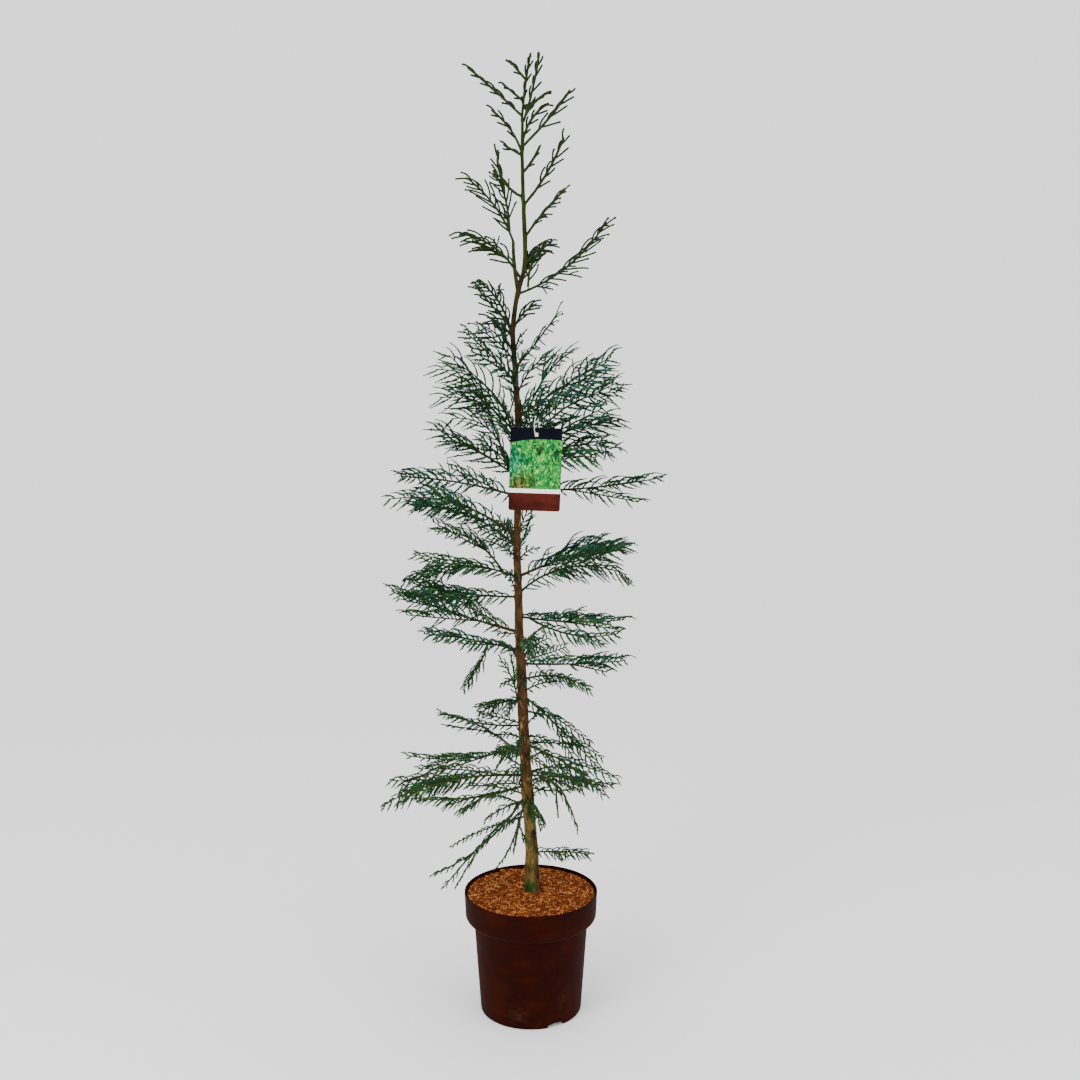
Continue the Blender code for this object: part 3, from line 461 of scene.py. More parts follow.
MASSES = (      # name, height, azimuth, reach, rise, arch, lift, side stem
    mass("left_thin", 0.545, 150, 0.260, -0.140, 0.010, 0, (0.12, 215, 0.080, -0.130, -0.015, 0)),
    mass("left_sweep", 0.615, 212, 0.295, -0.175, -0.035, 10),
    mass("left_under", 0.635, 222, 0.350, 0.040, -0.015, -10),
    mass("left_long", 0.660, 186, 0.395, -0.075, 0.015, 0, bough=0.24, drop=0.05),
    mass("left_wing", 0.750, 165, 0.340, -0.060, -0.025, 35, (0.10, 140, 0.270, 0.045, 0.020, 0)),
    mass("left_tuft", 0.873, 230, 0.175, 0.000, 0.010, 0, (0.12, 160, 0.050, 0.110, 0.010, 0)),
    mass("left_ladder", 1.012, 214, 0.285, 0.090, 0.000, 0, (0.35, 232, 0.090, -0.095, -0.010, 0)),
    mass("left_low_bow", 1.060, 162, 0.370, 0.090, -0.005, 25, bough=0.24),
    mass("left_green", 1.157, 190, 0.280, 0.045, -0.010, 0),
    mass("left_bow", 1.210, 172, 0.310, -0.020, 0.035, 0, (0.12, 140, 0.250, 0.085, 0.035, 30)),
    mass("left_dense_low", 1.290, 218, 0.325, 0.135, 0.030, 0),
    mass("left_dense", 1.315, 176, 0.340, 0.100, 0.040, 0, bough=0.22),
    mass("left_reach", 1.425, 152, 0.360, 0.035, 0.010, 20),
    mass("left_plume_low", 1.475, 205, 0.230, 0.140, 0.005, 0, (0.12, 148, 0.180, 0.130, 0.050, 0)),
    mass("left_plume_high", 1.570, 190, 0.205, 0.115, 0.040, 0, (0.12, 160, 0.215, 0.155, 0.050, 0)),
    mass("left_lance", 1.720, 205, 0.145, 0.135, 0.005, 0, (0.15, 130, 0.115, 0.125, 0.035, 0)),
    mass("left_crown", 1.840, 125, 0.170, 0.145, 0.025, 0),
    mass("left_top_fan", 1.983, 212, 0.175, 0.110, 0.025, 0),
    mass("left_spike", 2.190, 205, 0.070, 0.110, -0.025, 0),
    mass("left_feather", 2.298, 175, 0.075, 0.105, 0.010, 0),
    mass("right_low", 0.438, -40, 0.195, 0.045, 0.005, 0),
    mass("right_droop", 0.656, -55, 0.235, -0.080, 0.060, -20),
    mass("right_step", 0.676, 35, 0.270, -0.100, 0.000, 0),
    mass("right_sweep", 0.747, -25, 0.235, -0.110, 0.020, 0),
    mass("right_arc", 0.889, -35, 0.245, -0.160, 0.005, 0),
    mass("right_hook", 0.929, 45, 0.270, -0.080, 0.025, 0),
    mass("right_comb", 0.974, -14, 0.285, 0.025, -0.005, 45),
    mass("right_ridge", 1.103, 15, 0.295, -0.025, -0.010, 35, (0.10, -35, 0.280, -0.005, -0.025, 0)),
    mass("right_lower_fan", 1.165, -30, 0.320, 0.080, 0.045, -30),
    mass("right_fan", 1.210, 22, 0.315, 0.060, 0.015, 35, bough=0.22),
    mass("right_spear", 1.440, 8, 0.390, 0.030, -0.010, 20, bough=0.24),
    mass("right_plume_low", 1.495, -35, 0.240, 0.045, 0.015, 0, (0.12, 25, 0.250, 0.035, 0.030, 0)),
    mass("right_plume_mid", 1.540, -8, 0.265, 0.085, 0.015, 0, (0.12, 30, 0.275, 0.135, 0.040, 0)),
    mass("right_plume_high", 1.630, -25, 0.260, 0.160, 0.005, 0, (0.12, 50, 0.170, 0.145, 0.020, 0)),
    mass("right_crest", 1.760, 60, 0.220, 0.140, -0.005, 0),
    mass("right_top_long", 1.948, -8, 0.225, 0.175, -0.025, 0, (0.10, 40, 0.075, 0.120, 0.025, 0)),
    mass("right_spray", 2.090, -50, 0.150, 0.105, 0.005, 0),
    mass("right_spike", 2.170, 35, 0.125, 0.175, -0.010, 0),
    mass("right_feather", 2.315, -12, 0.120, 0.130, -0.005, 0),
    mass("front_low", 0.600, 262, 0.240, -0.060, 0.020, 0),
    mass("front_waist", 1.030, 278, 0.260, 0.020, 0.020, 0),
    mass("label_spray", 1.555, 296, 0.220, 0.140, 0.008, 0),
    mass("back_low", 0.700, 95, 0.300, -0.050, 0.020, 0),
    mass("back_mid", 0.960, 82, 0.300, 0.020, 0.015, 0),
    mass("back_waist", 1.245, 98, 0.320, 0.070, 0.020, 10),
    mass("back_high", 1.520, 82, 0.250, 0.130, 0.015, 0),
)
print(len(MASSES), "sprays on the trunk")

# %% [markdown]
# ## The pruned stub and the top
# A second trunk was cut off just above its root. Its stub sends up a plume, and
# the trunk itself ends in two shoots side by side. They are rows like the others,
# but they spring from the stub and from the trunk's tip.

# %% Stub and top shoots
STUB = Stem(1.955, 175, 0.012, 0.125, -0.003, 0)
STUB_RADII = (0.0055, 0.0042)
STUB_PLUME = mass("stub_plume", 0.0, 170, 0.120, 0.160, 0.015, 0, (0.12, 120, 0.085, 0.160, 0.020, 0))
TOP_SHOOTS = (
    Mass("top_shoot", [
        Stem(0.0, 40, 0.028, 0.165, 0.003, 0),
        Stem(0.08, 185, 0.135, 0.115, 0.002, 25),
        Stem(0.30, 160, 0.055, 0.045, 0.000, 0),
        Stem(0.62, 182, 0.040, 0.044, 0.000, 0)], 0.0),
    Mass("second_top_shoot", [
        Stem(0.0, -10, 0.040, 0.163, -0.0045, 0),
        Stem(0.10, -25, 0.068, 0.052, 0.008, 0)], 0.0),
)
TOP_SHOOT_SPREAD = 0.0045
TOP_SHOOT_SINK = 0.004          # their roots start inside the trunk
every_mass = MASSES + (STUB_PLUME,) + TOP_SHOOTS
print(len(every_mass), "sprays,", sum(len(plan.stems) for plan in every_mass), "stems")

# %% [markdown]
# ## Arcs
# A stem's bow is a parabola. A twig bends the same way and its end hooks a little
# further, so one shape serves them all: root + go * u + bend * u**2 + hook * u**3,
# with u from 0 at the root to 1 at the tip. Blender's Bezier curves bend like
# this, one object at a time. Keeping a whole crown as a few arrays lets numpy
# find any point on any shoot in one step. Beside them an arc keeps its radii, the
# flat direction its side shoots lie in, and the spray it belongs to.

# %% Arcs
UP = np.array((0.0, 0.0, 1.0))
STRAIGHT = np.zeros(3)
Arc = namedtuple("Arc", "root go bend hook")


def heading(azimuth):
    angle = math.radians(azimuth)
    return np.array((math.cos(angle), math.sin(angle), 0.0))


class Arcs:
    """Many shoots of one kind, as arrays that grow by rows."""

    def __init__(self):
        self.rows = []

    def put(self, arc, thick, thin, flat, spray, tint=0, bare=0.0, lush=1.0, comb=0.0):
        self.rows.append((*arc.root, *arc.go, *arc.bend, *arc.hook, *flat,
                          thick, thin, spray, tint, bare, lush, comb))

    def close(self):
        table = np.array(self.rows)
        self.root, self.go, self.bend, self.hook, self.flat = (
            table[:, k:k + 3] for k in (0, 3, 6, 9, 12))
        (self.thick, self.thin, self.spray, self.tint, self.bare, self.lush,
         self.comb) = table[:, 15:].T
        self.spray, self.tint = self.spray.astype(int), self.tint.astype(int)
        self.length = np.linalg.norm(self.go + self.bend + self.hook, axis=1)
        return self

    def arc(self, number):
        return Arc(self.root[number], self.go[number], self.bend[number], self.hook[number])

    def at(self, which, u):
        u = np.asarray(u)[..., None]
        return (self.root[which] + self.go[which] * u + self.bend[which] * u ** 2
                + self.hook[which] * u ** 3)

    def ahead(self, which, u):
        u = np.asarray(u)[..., None]
        return unit(self.go[which] + self.bend[which] * 2 * u + self.hook[which] * 3 * u ** 2)


print("an arc is", len(Arc._fields), "vectors")

# %% [markdown]
# ## From a row to an arc
# The rows say where a stem goes in a gardener's words: reach, rise and bow. To
# grow shoots on it we need points and directions along it. Measuring them off a
# mesh would be slow and rough, and the arc's own formula gives both exactly.

# %% Points along a stem
STEM_RADIUS = 0.0034            # of a stem of full length
STEM_FULL_LENGTH = 0.30
LEAST_STEM = 0.62               # share of that radius on the shortest stem
LONGEST_STEM = 1.2              # in full lengths: no thicker beyond this


def stem_arc(root, stem):
    """A stem row as an arc from its root."""
    chord = math.hypot(stem.reach, stem.rise)
    out = heading(stem.azimuth)
    square = UP * (stem.reach / chord) - out * (stem.rise / chord)
    bow = 4.0 * stem.arch * square
    drop = UP * stem.drop
    return Arc(root, out * stem.reach + UP * stem.rise + bow + drop, -bow, -drop)


def point_on(arc, share):
    return arc.root + arc.go * share + arc.bend * share ** 2 + arc.hook * share ** 3


def points_on(arc, shares):
    return np.array([point_on(arc, share) for share in shares])


def tangent_on(arc, share):
    return unit(arc.go + arc.bend * 2 * share + arc.hook * 3 * share ** 2)


def across_of(ahead):
    """Two directions square to a shoot: level sideways, and upward."""
    side = np.cross(ahead, UP)
    if np.linalg.norm(side) < 1e-4:
        side = np.array((1.0, 0.0, 0.0))
    side = unit(side)
    return side, unit(np.cross(side, ahead))


def stem_radius(stem):
    length = math.hypot(stem.reach, stem.rise)
    growth = min(length / STEM_FULL_LENGTH, LONGEST_STEM)
    return STEM_RADIUS * (LEAST_STEM + (1.0 - LEAST_STEM) * growth)


first_stem = MASSES[0].stems[0]
first_arc = stem_arc(trunk_at(first_stem.start)[0], first_stem)
print("tip of", MASSES[0].name, "at", point_on(first_arc, 1.0).round(3))

# %% [markdown]
# ## How each part of the crown grows
# The lowest sprays weep and carry open twigs. In the middle the twigs stand like
# the teeth of a comb. Between chest and head height the plant is fullest, and
# towards the top it is airy again. Each spray could have rules of its own, but
# then nothing would hold the plant together. A habit holds the differences of one
# height, so one rule makes every spray. Its numbers are: the height it ends at,
# the bare share of a stem, the way from twig to twig, the twigs' lean in degrees,
# their droop, the roll of the spray in degrees, the share of twigs with finer
# ones, the needles' length, how lush they are, the twigs' radius at root and tip,
# and the share of a twig where needles begin to shrink to scales.

# %% Habits
Habit = namedtuple("Habit", "top bare every lean droop roll finer needle lush core tip thread tints")
HABITS = (                      # tints: deep, blue, middle, fresh, olive, bronze
    Habit(0.72, 0.06, 0.0096, 60, 0.34, (50, 78), 0.06, 0.0076, 0.70, 0.0020, 0.0015, 0.70,
          (5, 3, 4, 2, 2, 0)),
    Habit(1.28, 0.06, 0.0092, 60, 0.28, (50, 78), 0.12, 0.0078, 0.80, 0.0020, 0.0014, 0.66,
          (5, 3, 4, 2, 1, 0)),
    Habit(1.80, 0.05, 0.0120, 58, 0.20, (40, 72), 0.16, 0.0082, 0.90, 0.0020, 0.0014, 0.60,
          (6, 5, 4, 1, 0, 0)),
    Habit(2.15, 0.16, 0.0105, 44, 0.26, (52, 80), 0.06, 0.0074, 0.70, 0.0028, 0.0024, 0.74,
          (6, 4, 2, 0, 2, 0)),
    Habit(3.00, 0.26, 0.0165, 40, 0.22, (58, 86), 0.00, 0.0066, 0.50, 0.0030, 0.0029, 0.85,
          (4, 2, 2, 0, 4, 1)),
)


def habit_at(height):
    return next(habit for habit in HABITS if height < habit.top)


print("at chest height a twig stands every", habit_at(1.3).every * 1000, "mm")

# %% [markdown]
# ## Each spray's dress
# Two sprays at one height still differ: one is a narrow spear with a single stem,
# its neighbour a fan. This table gives each spray the length of its longest
# twigs, in millimetres, and how many forks its main stem has. Three more lengths
# serve the short shoots that spring from the trunk between the sprays.

# %% Longest twigs and forks
SPRAY_DRESS = {                 # longest twig in mm, forks
    "left_thin": (18, 0), "left_sweep": (26, 2), "left_under": (34, 3), "left_long": (46, 6),
    "left_wing": (32, 3), "left_tuft": (36, 3), "left_ladder": (38, 3), "left_low_bow": (54, 4),
    "left_green": (50, 5), "left_bow": (46, 4), "left_dense_low": (56, 3), "left_dense": (62, 3),
    "left_reach": (56, 2), "left_plume_low": (76, 2), "left_plume_high": (78, 3),
    "left_lance": (56, 2), "left_crown": (48, 2), "left_top_fan": (58, 1), "left_spike": (44, 0),
    "left_feather": (40, 0), "right_low": (36, 2), "right_droop": (28, 2), "right_step": (34, 3),
    "right_sweep": (36, 3), "right_arc": (36, 3), "right_hook": (38, 3), "right_comb": (48, 1),
    "right_ridge": (42, 3), "right_lower_fan": (46, 3), "right_fan": (58, 5),
    "right_spear": (50, 2), "right_plume_low": (76, 2), "right_plume_mid": (78, 3),
    "right_plume_high": (78, 3), "right_crest": (60, 0), "right_top_long": (56, 0),
    "right_spray": (46, 0), "right_spike": (46, 0), "right_feather": (44, 0), "front_low": (34, 3),
    "front_waist": (26, 1), "label_spray": (56, 2), "back_low": (44, 4), "back_mid": (52, 4),
    "back_waist": (60, 4), "back_high": (64, 4), "stub_plume": (54, 0), "top_shoot": (30, 0),
    "second_top_shoot": (30, 0),
}
TUFT_TWIGS = (27, 54, 32)       # mm, below chest height, above it, and on the leader
CHEST = 1.30
LEADER = 2.15
print("longest twigs from", min(SPRAY_DRESS.values())[0], "to", max(SPRAY_DRESS.values())[0], "mm")

# %% [markdown]
# ## Places that stay clear
# On the real plant nothing grows through the label, the trunk or the pot, and no
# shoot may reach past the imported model. Meshes could be trimmed afterwards, but
# cut twigs look cut. Testing each shoot before it is kept is quicker and leaves
# whole ones.

# %% Room for a shoot
label_low, label_high = (np.array(corner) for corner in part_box("label_card"))
POT_RIM_RADIUS = 0.182
POT_HEIGHT = 0.339
MIX_LEVEL = 0.329
FORK_HEIGHT = 2.37              # above it the trunk has become two shoots
LABEL_ROOM = 0.006
LABEL_ROOM_BELOW = 0.004
RIM_ROOM = 0.012
RIM_ROOM_ABOVE = 0.004
TRUNK_ROOM = 0.001
BOX_ROOM_LOW = 0.004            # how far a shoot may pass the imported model's box
BOX_ROOM_HIGH = 0.003


def is_clear(points):
    """Whether a shoot keeps out of the label, trunk and pot and in the box."""
    if (points < cad_low - BOX_ROOM_LOW).any() or (points > cad_high + BOX_ROOM_HIGH).any():
        return False
    x, y, z = points.T
    over = (x > label_low[0] - LABEL_ROOM) & (x < label_high[0] + LABEL_ROOM)
    over &= y < label_high[1] + LABEL_ROOM
    over &= (z > label_low[2] - LABEL_ROOM_BELOW) & (z < label_high[2] + LABEL_ROOM)
    if over.any():
        return False
    near = np.hypot(x, y) < POT_RIM_RADIUS + RIM_ROOM
    if (near & (z < POT_HEIGHT + RIM_ROOM_ABOVE)).any():
        return False
    for point in points[2:]:
        centre, radius = trunk_at(point[2])
        if point[2] < FORK_HEIGHT and np.hypot(*(point - centre)[:2]) < radius + TRUNK_ROOM:
            return False
    return True


print("label from", label_low.round(3), "to", label_high.round(3))

# %% [markdown]
# ## Short shoots on the trunk
# Between the sprays the trunk is dressed with short shoots. Each stands about
# 137 degrees round from the one before, as leaves do, so no two neighbours lie
# over each other. Shoots dealt at random angles would clump. A few that are
# plain to see have rows of their own.

# %% Tufts and inner shoots
TUFTS = (
    Stem(0.585, 205, 0.130, -0.035, 0.012, 0),
    Stem(0.590, -60, 0.070, -0.035, 0.005, 0),
    Stem(0.630, 10, 0.130, -0.015, -0.010, 0),
    Stem(0.765, -20, 0.080, -0.005, 0.012, 0),
    Stem(0.803, 178, 0.225, 0.034, -0.014, 0),
    Stem(0.865, 160, 0.120, -0.020, 0.010, 0),
    Stem(1.320, 60, 0.060, 0.070, 0.000, 0),
    Stem(1.775, 170, 0.100, 0.085, 0.010, 0),
    Stem(1.830, 195, 0.065, 0.058, 0.010, 0),
    Stem(1.975, 20, 0.035, 0.075, 0.000, 0),
    Stem(2.020, -20, 0.060, 0.050, 0.005, 0),
    Stem(2.250, -30, 0.050, 0.062, -0.004, 0),
    Stem(2.293, 190, 0.045, 0.024, 0.000, 0),
    Stem(2.318, 15, 0.066, 0.104, 0.014, 0),
)
INNER_SHOOTS = (                # trunk from, to, spacing, then limits of reach and rise
    (0.560, 0.800, 0.0105, (0.060, 0.180), (-0.040, 0.040)),
    (0.800, 0.960, 0.0220, (0.060, 0.140), (-0.030, 0.035)),
    (0.990, 1.300, 0.0420, (0.050, 0.110), (0.000, 0.060)),
    (1.400, 1.560, 0.0160, (0.050, 0.130), (0.060, 0.110)),
    (1.560, 1.750, 0.0190, (0.040, 0.095), (0.060, 0.110)),
    (1.750, 1.900, 0.0380, (0.030, 0.060), (0.060, 0.090)),
)
GOLDEN_TURN = 137.5             # degrees from each short shoot to the next
TURN_PLAY = 15.0                # degrees either way
INNER_ARCH = 0.018              # the most that a short shoot bows


def inner_shoots():
    """Short shoots that climb the trunk, each turned by the golden angle."""
    rng = random.Random(11)
    azimuth = 0.0
    for low, high, spacing, reach, rise in INNER_SHOOTS:
        for k in range(int((high - low) / spacing)):
            azimuth += GOLDEN_TURN + rng.uniform(-TURN_PLAY, TURN_PLAY)
            yield Stem(low + spacing * (k + rng.random()), azimuth, rng.uniform(*reach),
                       rng.uniform(*rise), rng.uniform(0.0, INNER_ARCH), 0)


short_rows = TUFTS + tuple(inner_shoots())
print(len(short_rows), "short shoots")

# %% [markdown]
# ## Where each spray springs
# Most sprays spring from the trunk, one from the top of the pruned stub and two
# from the trunk's tip. The roots could be typed in as points, but then a change
# to the trunk would leave them in the air. Here they are worked out from it.

# %% Roots of the sprays
def spray_plans():
    """(name, root of the first stem, stems, whether on the trunk) of every spray."""
    plans = [(plan.name, trunk_at(plan.stems[0].start)[0], plan.stems, True) for plan in MASSES]
    stub_top = point_on(stem_arc(trunk_at(STUB.start)[0], STUB), 1.0)
    plans.append((STUB_PLUME.name, stub_top, STUB_PLUME.stems, False))
    crown = trunk_at(TRUNK_STATIONS[-1][0])[0]
    for plan, sign in zip(TOP_SHOOTS, (-1, 1)):
        foot = crown + np.array((sign * TOP_SHOOT_SPREAD * 0.5, 0.0, -TOP_SHOOT_SINK))
        plans.append((plan.name, foot, plan.stems, False))
    return plans


plans = spray_plans()
print("lowest root at", min(plan[1][2] for plan in plans).round(3), "m")

# %% [markdown]
# ## Growing the stems
# The rows' own stems come first. Forks leave them by turns to the left and right
# and spread level, at 20 to 42 degrees, so each spray is a fan seen from above.
# Copies of one fan would be quicker, and would look like copies. What may vary is
# drawn from a seeded generator, which gives the same plant each time. Each spray
# also rolls its flat side to the light, and that tilt opens it to the eye.

# %% Grow the stems
SUB_STEM_BARE = 0.10            # bare share of a stem that springs from another
TUFT_BARE = 0.12
MOST_ROLL = 90.0                # degrees
LIFT_TO_COMB = 45.0             # a lift of this many degrees is a full comb
LUSH_PLAY = (0.80, 1.20)
FORK_FIRST, FORK_ZONE = 0.10, 0.62      # shares of the stem that carry forks
FORK_TILT = (-24, 16)           # degrees out of level
FORK_LEAN = (20, 42)            # degrees from the stem
FORK_REACH = (0.50, 0.85)       # of what is left of the stem
FORK_LEAST = 0.045
SHORTER_FORKS = (1.0, 0.7)      # what to try before a fork is given up


def grow_stem(stems, arc, row, number, habit, rng, bare, forks):
    """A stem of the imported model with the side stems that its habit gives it."""
    side, above = across_of(tangent_on(arc, 0.4))
    way = rng.choice((-1, 1))
    roll = math.radians(way * min(rng.uniform(*habit.roll) + abs(row.lift), MOST_ROLL))
    flat = side * math.cos(roll) + above * math.sin(roll)
    lush = habit.lush * rng.uniform(*LUSH_PLAY)
    thick = max(stem_radius(row), habit.core * 1.25)
    comb = row.lift / LIFT_TO_COMB
    stems.put(arc, thick, habit.tip * 1.15, flat, number, 0, bare, lush, comb)
    length = math.hypot(row.reach, row.rise)
    first_side = rng.choice((-1, 1))
    for k in range(forks):
        share = FORK_FIRST + FORK_ZONE * (k + rng.uniform(0.2, 0.8)) / forks
        sign = first_side if k % 2 else -first_side
        put_fork(stems, arc, share, sign, length, roll, number, habit, lush, comb, rng)


def put_fork(stems, main, share, sign, reach, roll, number, habit, lush, comb, rng):
    """A side stem that spreads level, so the spray is a fan seen from above."""
    ahead = tangent_on(main, share)
    side, above = across_of(ahead)
    tilt = math.radians(rng.uniform(*FORK_TILT))
    across = side * (sign * math.cos(tilt)) + above * math.sin(tilt)
    lean = math.radians(rng.uniform(*FORK_LEAN))
    aim = ahead * math.cos(lean) + across * math.sin(lean)
    size = max(reach * (1.0 - share) * rng.uniform(*FORK_REACH), FORK_LEAST)
    bend = ahead * rng.uniform(0.15, 0.40) - UP * habit.droop * rng.uniform(0.0, 0.5)
    side, above = across_of(aim)
    turn = roll + math.radians(rng.uniform(-18, 18))
    flat = side * math.cos(turn) + above * math.sin(turn)
    for cut in SHORTER_FORKS:
        arc = Arc(point_on(main, share), aim * size * cut, bend * size * cut, STRAIGHT)
        if is_clear(points_on(arc, np.linspace(0.1, 1.0, 8))):
            stems.put(arc, habit.core * 1.25, habit.tip * 1.1, flat, number, 0, SUB_STEM_BARE,
                      lush * rng.uniform(0.85, 1.15), comb)
            return


def grow_stems():
    """The stems of every spray, then the short shoots on the trunk."""
    stems = Arcs()
    rng = random.Random(7)
    for number, (name, foot, rows, on_trunk) in enumerate(plans):
        habit, forks = habit_at(foot[2]), SPRAY_DRESS[name][1]
        main = stem_arc(foot, rows[0])
        bare = habit.bare if on_trunk else SUB_STEM_BARE
        grow_stem(stems, main, rows[0], number, habit, rng, bare, forks)
        for row in rows[1:]:
            arc = stem_arc(point_on(main, row.start), row)
            grow_stem(stems, arc, row, number, habit, rng, SUB_STEM_BARE, forks // 2)
    for row in short_rows:
        foot = trunk_at(row.start)[0]
        arc = stem_arc(foot, row)
        if is_clear(points_on(arc, np.linspace(0.3, 1.0, 8))):
            number = len(plans) + (row.start > CHEST) + (row.start > LEADER)
            grow_stem(stems, arc, row, number, habit_at(foot[2]), rng, TUFT_BARE, 0)
    return stems.close()


stems = grow_stems()
print(len(stems.rows), "stems,", round(stems.length.sum(), 1), "m in all")

# %% [markdown]
# ## Twigs
# Twigs leave the stem by turns to its two sides, spread wide, then bend forward
# and let their tips hang. They are longest near the middle of the stem and short
# at its ends. A hair system could scatter them, but it knows nothing of sides,
# and a redwood's spray is flat. Here the flat direction of each stem decides
# where its sides are. A twig with no room is tried again at 70 and 50 per cent
# of its length.

# %% One twig
TWIG_LEAN_PLAY = 9              # degrees either way
TWIG_LEAN_LOSS = 10             # degrees less at the tip of the stem
TWIG_ROLL = 18                  # degrees out of the flat, either way
COMB_TURN = 0.6                 # chance that a twig of a comb changes to the upper side
COMB_GROWTH = 0.45              # how much longer the upper twigs of a comb are
TWIG_BARE = 0.04
SHORTER_TWIGS = (1.0, 0.7, 0.5)


def twig_length(longest, share, stem_length, rng):
    """Longest near the middle of a stem, and shorter on short stems."""
    fullness = 0.40 + 0.60 * math.sin(math.pi * min(1.0, 0.08 + share * 0.84))
    size = longest * fullness * rng.uniform(0.75, 1.25)
    return size * min(1.0, 0.50 + stem_length * 2.4)


def put_twig(twigs, arc, share, sign, size, habit, flat, spray, tint, lush, comb, rng):
    """One twig to the left or right of its stem, if there is room for it."""
    ahead = tangent_on(arc, share)
    flat = unit(flat - ahead * flat.dot(ahead))
    normal = np.cross(ahead, flat)
    roll = math.radians(rng.uniform(-TWIG_ROLL, TWIG_ROLL))
    across = flat * (sign * math.cos(roll)) + normal * math.sin(roll)
    if across[2] * comb < 0.0 and rng.random() < COMB_TURN * abs(comb):
        across = -across
    lean = habit.lean + rng.uniform(-TWIG_LEAN_PLAY, TWIG_LEAN_PLAY) - TWIG_LEAN_LOSS * share
    lean = math.radians(lean)
    aim = ahead * math.cos(lean) + across * math.sin(lean)
    bend = ahead * rng.uniform(0.30, 0.60) - across * 0.16 + normal * rng.uniform(-0.14, 0.14)
    bend = bend - UP * habit.droop * rng.uniform(0.2, 1.0)
    hook = across * rng.uniform(-0.14, 0.04) - UP * habit.droop * rng.uniform(0.2, 1.2)
    size = size * (1.0 + COMB_GROWTH * comb * across[2]) / np.linalg.norm(aim + bend + hook)
    for cut in SHORTER_TWIGS:
        length = size * cut
        trial = Arc(point_on(arc, share), aim * length, bend * length, hook * length)
        if is_clear(points_on(trial, np.linspace(0.0, 1.0, 7))):
            twigs.put(trial, habit.core, habit.tip, ahead - aim * ahead.dot(aim), spray, tint,
                      TWIG_BARE, lush * rng.uniform(0.8, 1.2))
            return


print("tries for a twig, as shares of its length:", *SHORTER_TWIGS)

# %% [markdown]
# ## Twigs on every stem
# The tint is dealt here too, because a twig is all of one green. Dealing it
# needle by needle would speckle the crown. Just over half of the twigs draw a
# tint of their own, and the others take the one that their stem has drawn.

# %% Grow the twigs
TINT_COUNT = 6
OWN_TINT = 0.55                 # share of twigs that draw a tint of their own
LEAST_TWIGS = 3


def grow_twigs(stems):
    """Twigs along every stem, each with a tint of the stem's or of its own."""
    twigs = Arcs()
    rng = random.Random(21)
    longest = [SPRAY_DRESS[plan[0]][0] / 1000 for plan in plans]
    longest += [size / 1000 for size in TUFT_TWIGS]
    for number in range(len(stems.rows)):
        arc = stems.arc(number)
        habit = habit_at(stems.root[number][2] + 0.02)
        length = stems.length[number]
        bare = stems.bare[number]
        count = max(LEAST_TWIGS, round(length * (1.0 - bare) / habit.every))
        first_side = rng.choice((-1, 1))
        tint_here = rng.choices(range(TINT_COUNT), habit.tints)[0]
        for k in range(count):
            share = bare + (1.0 - bare) * (k + rng.uniform(0.25, 0.75)) / count
            sign = first_side if k % 2 else -first_side
            size = twig_length(longest[stems.spray[number]], share, length, rng)
            tint = tint_here
            if rng.random() < OWN_TINT:
                tint = rng.choices(range(TINT_COUNT), habit.tints)[0]
            put_twig(twigs, arc, share, sign, size, habit, stems.flat[number],
                     stems.spray[number], tint, stems.lush[number], stems.comb[number], rng)
    return twigs.close()


twigs = grow_twigs(stems)
print(len(twigs.rows), "twigs,", round(twigs.length.sum(), 1), "m")

# %% [markdown]
# ## Finer twigs
# Some of the longer twigs branch once more, into one to three short shoots. The
# rule for twigs could be run a second time, but it would fill every twig. Only a
# share that the habit gives, and none under 42 mm, get finer ones.

# %% Grow the finer twigs
FINER_FROM = 0.042              # shortest twig that carries finer ones
FINER_FIRST, FINER_ZONE = 0.20, 0.42    # shares of the twig that carry them
FINER_ROLL = 25                 # degrees out of the flat, either way
FINER_LEAN = (38, 52)           # degrees from the twig
FINER_REACH = (0.45, 0.70)      # of what is left of the twig


def grow_finer(twigs):
    """One to three short shoots on some of the longer twigs."""
    finer = Arcs()
    rng = random.Random(33)
    for number in range(len(twigs.rows)):
        length = twigs.length[number]
        habit = habit_at(twigs.root[number][2])
        if rng.random() > habit.finer or length < FINER_FROM:
            continue
        count = rng.randint(1, 3)
        first_side = rng.choice((-1, 1))
        arc = twigs.arc(number)
        for k in range(count):
            share = FINER_FIRST + FINER_ZONE * (k + rng.uniform(0.2, 0.8)) / count
            ahead = tangent_on(arc, share)
            flat = twigs.flat[number]
            flat = unit(flat - ahead * flat.dot(ahead))
            normal = np.cross(ahead, flat)
            roll = math.radians(rng.uniform(-FINER_ROLL, FINER_ROLL))
            sign = first_side if k % 2 else -first_side
            across = flat * (sign * math.cos(roll)) + normal * math.sin(roll)
            lean = math.radians(rng.uniform(*FINER_LEAN))
            size = length * (1.0 - share) * rng.uniform(*FINER_REACH)
            aim = ahead * math.cos(lean) + across * math.sin(lean)
            bend = ahead * 0.30 - UP * habit.droop * rng.uniform(0.3, 1.2)
            trial = Arc(point_on(arc, share), aim * size, bend * size, STRAIGHT)
            if is_clear(points_on(trial, (0.0, 0.3, 0.7, 1.0))):
                finer.put(trial, habit.core * 0.8, habit.tip * 0.9, ahead - aim * ahead.dot(aim),
                          twigs.spray[number], twigs.tint[number], 0.0, twigs.lush[number] * 0.9)
    return finer.close()


finer = grow_finer(twigs)
print(len(finer.rows), "finer twigs,", round(finer.length.sum(), 1), "m")

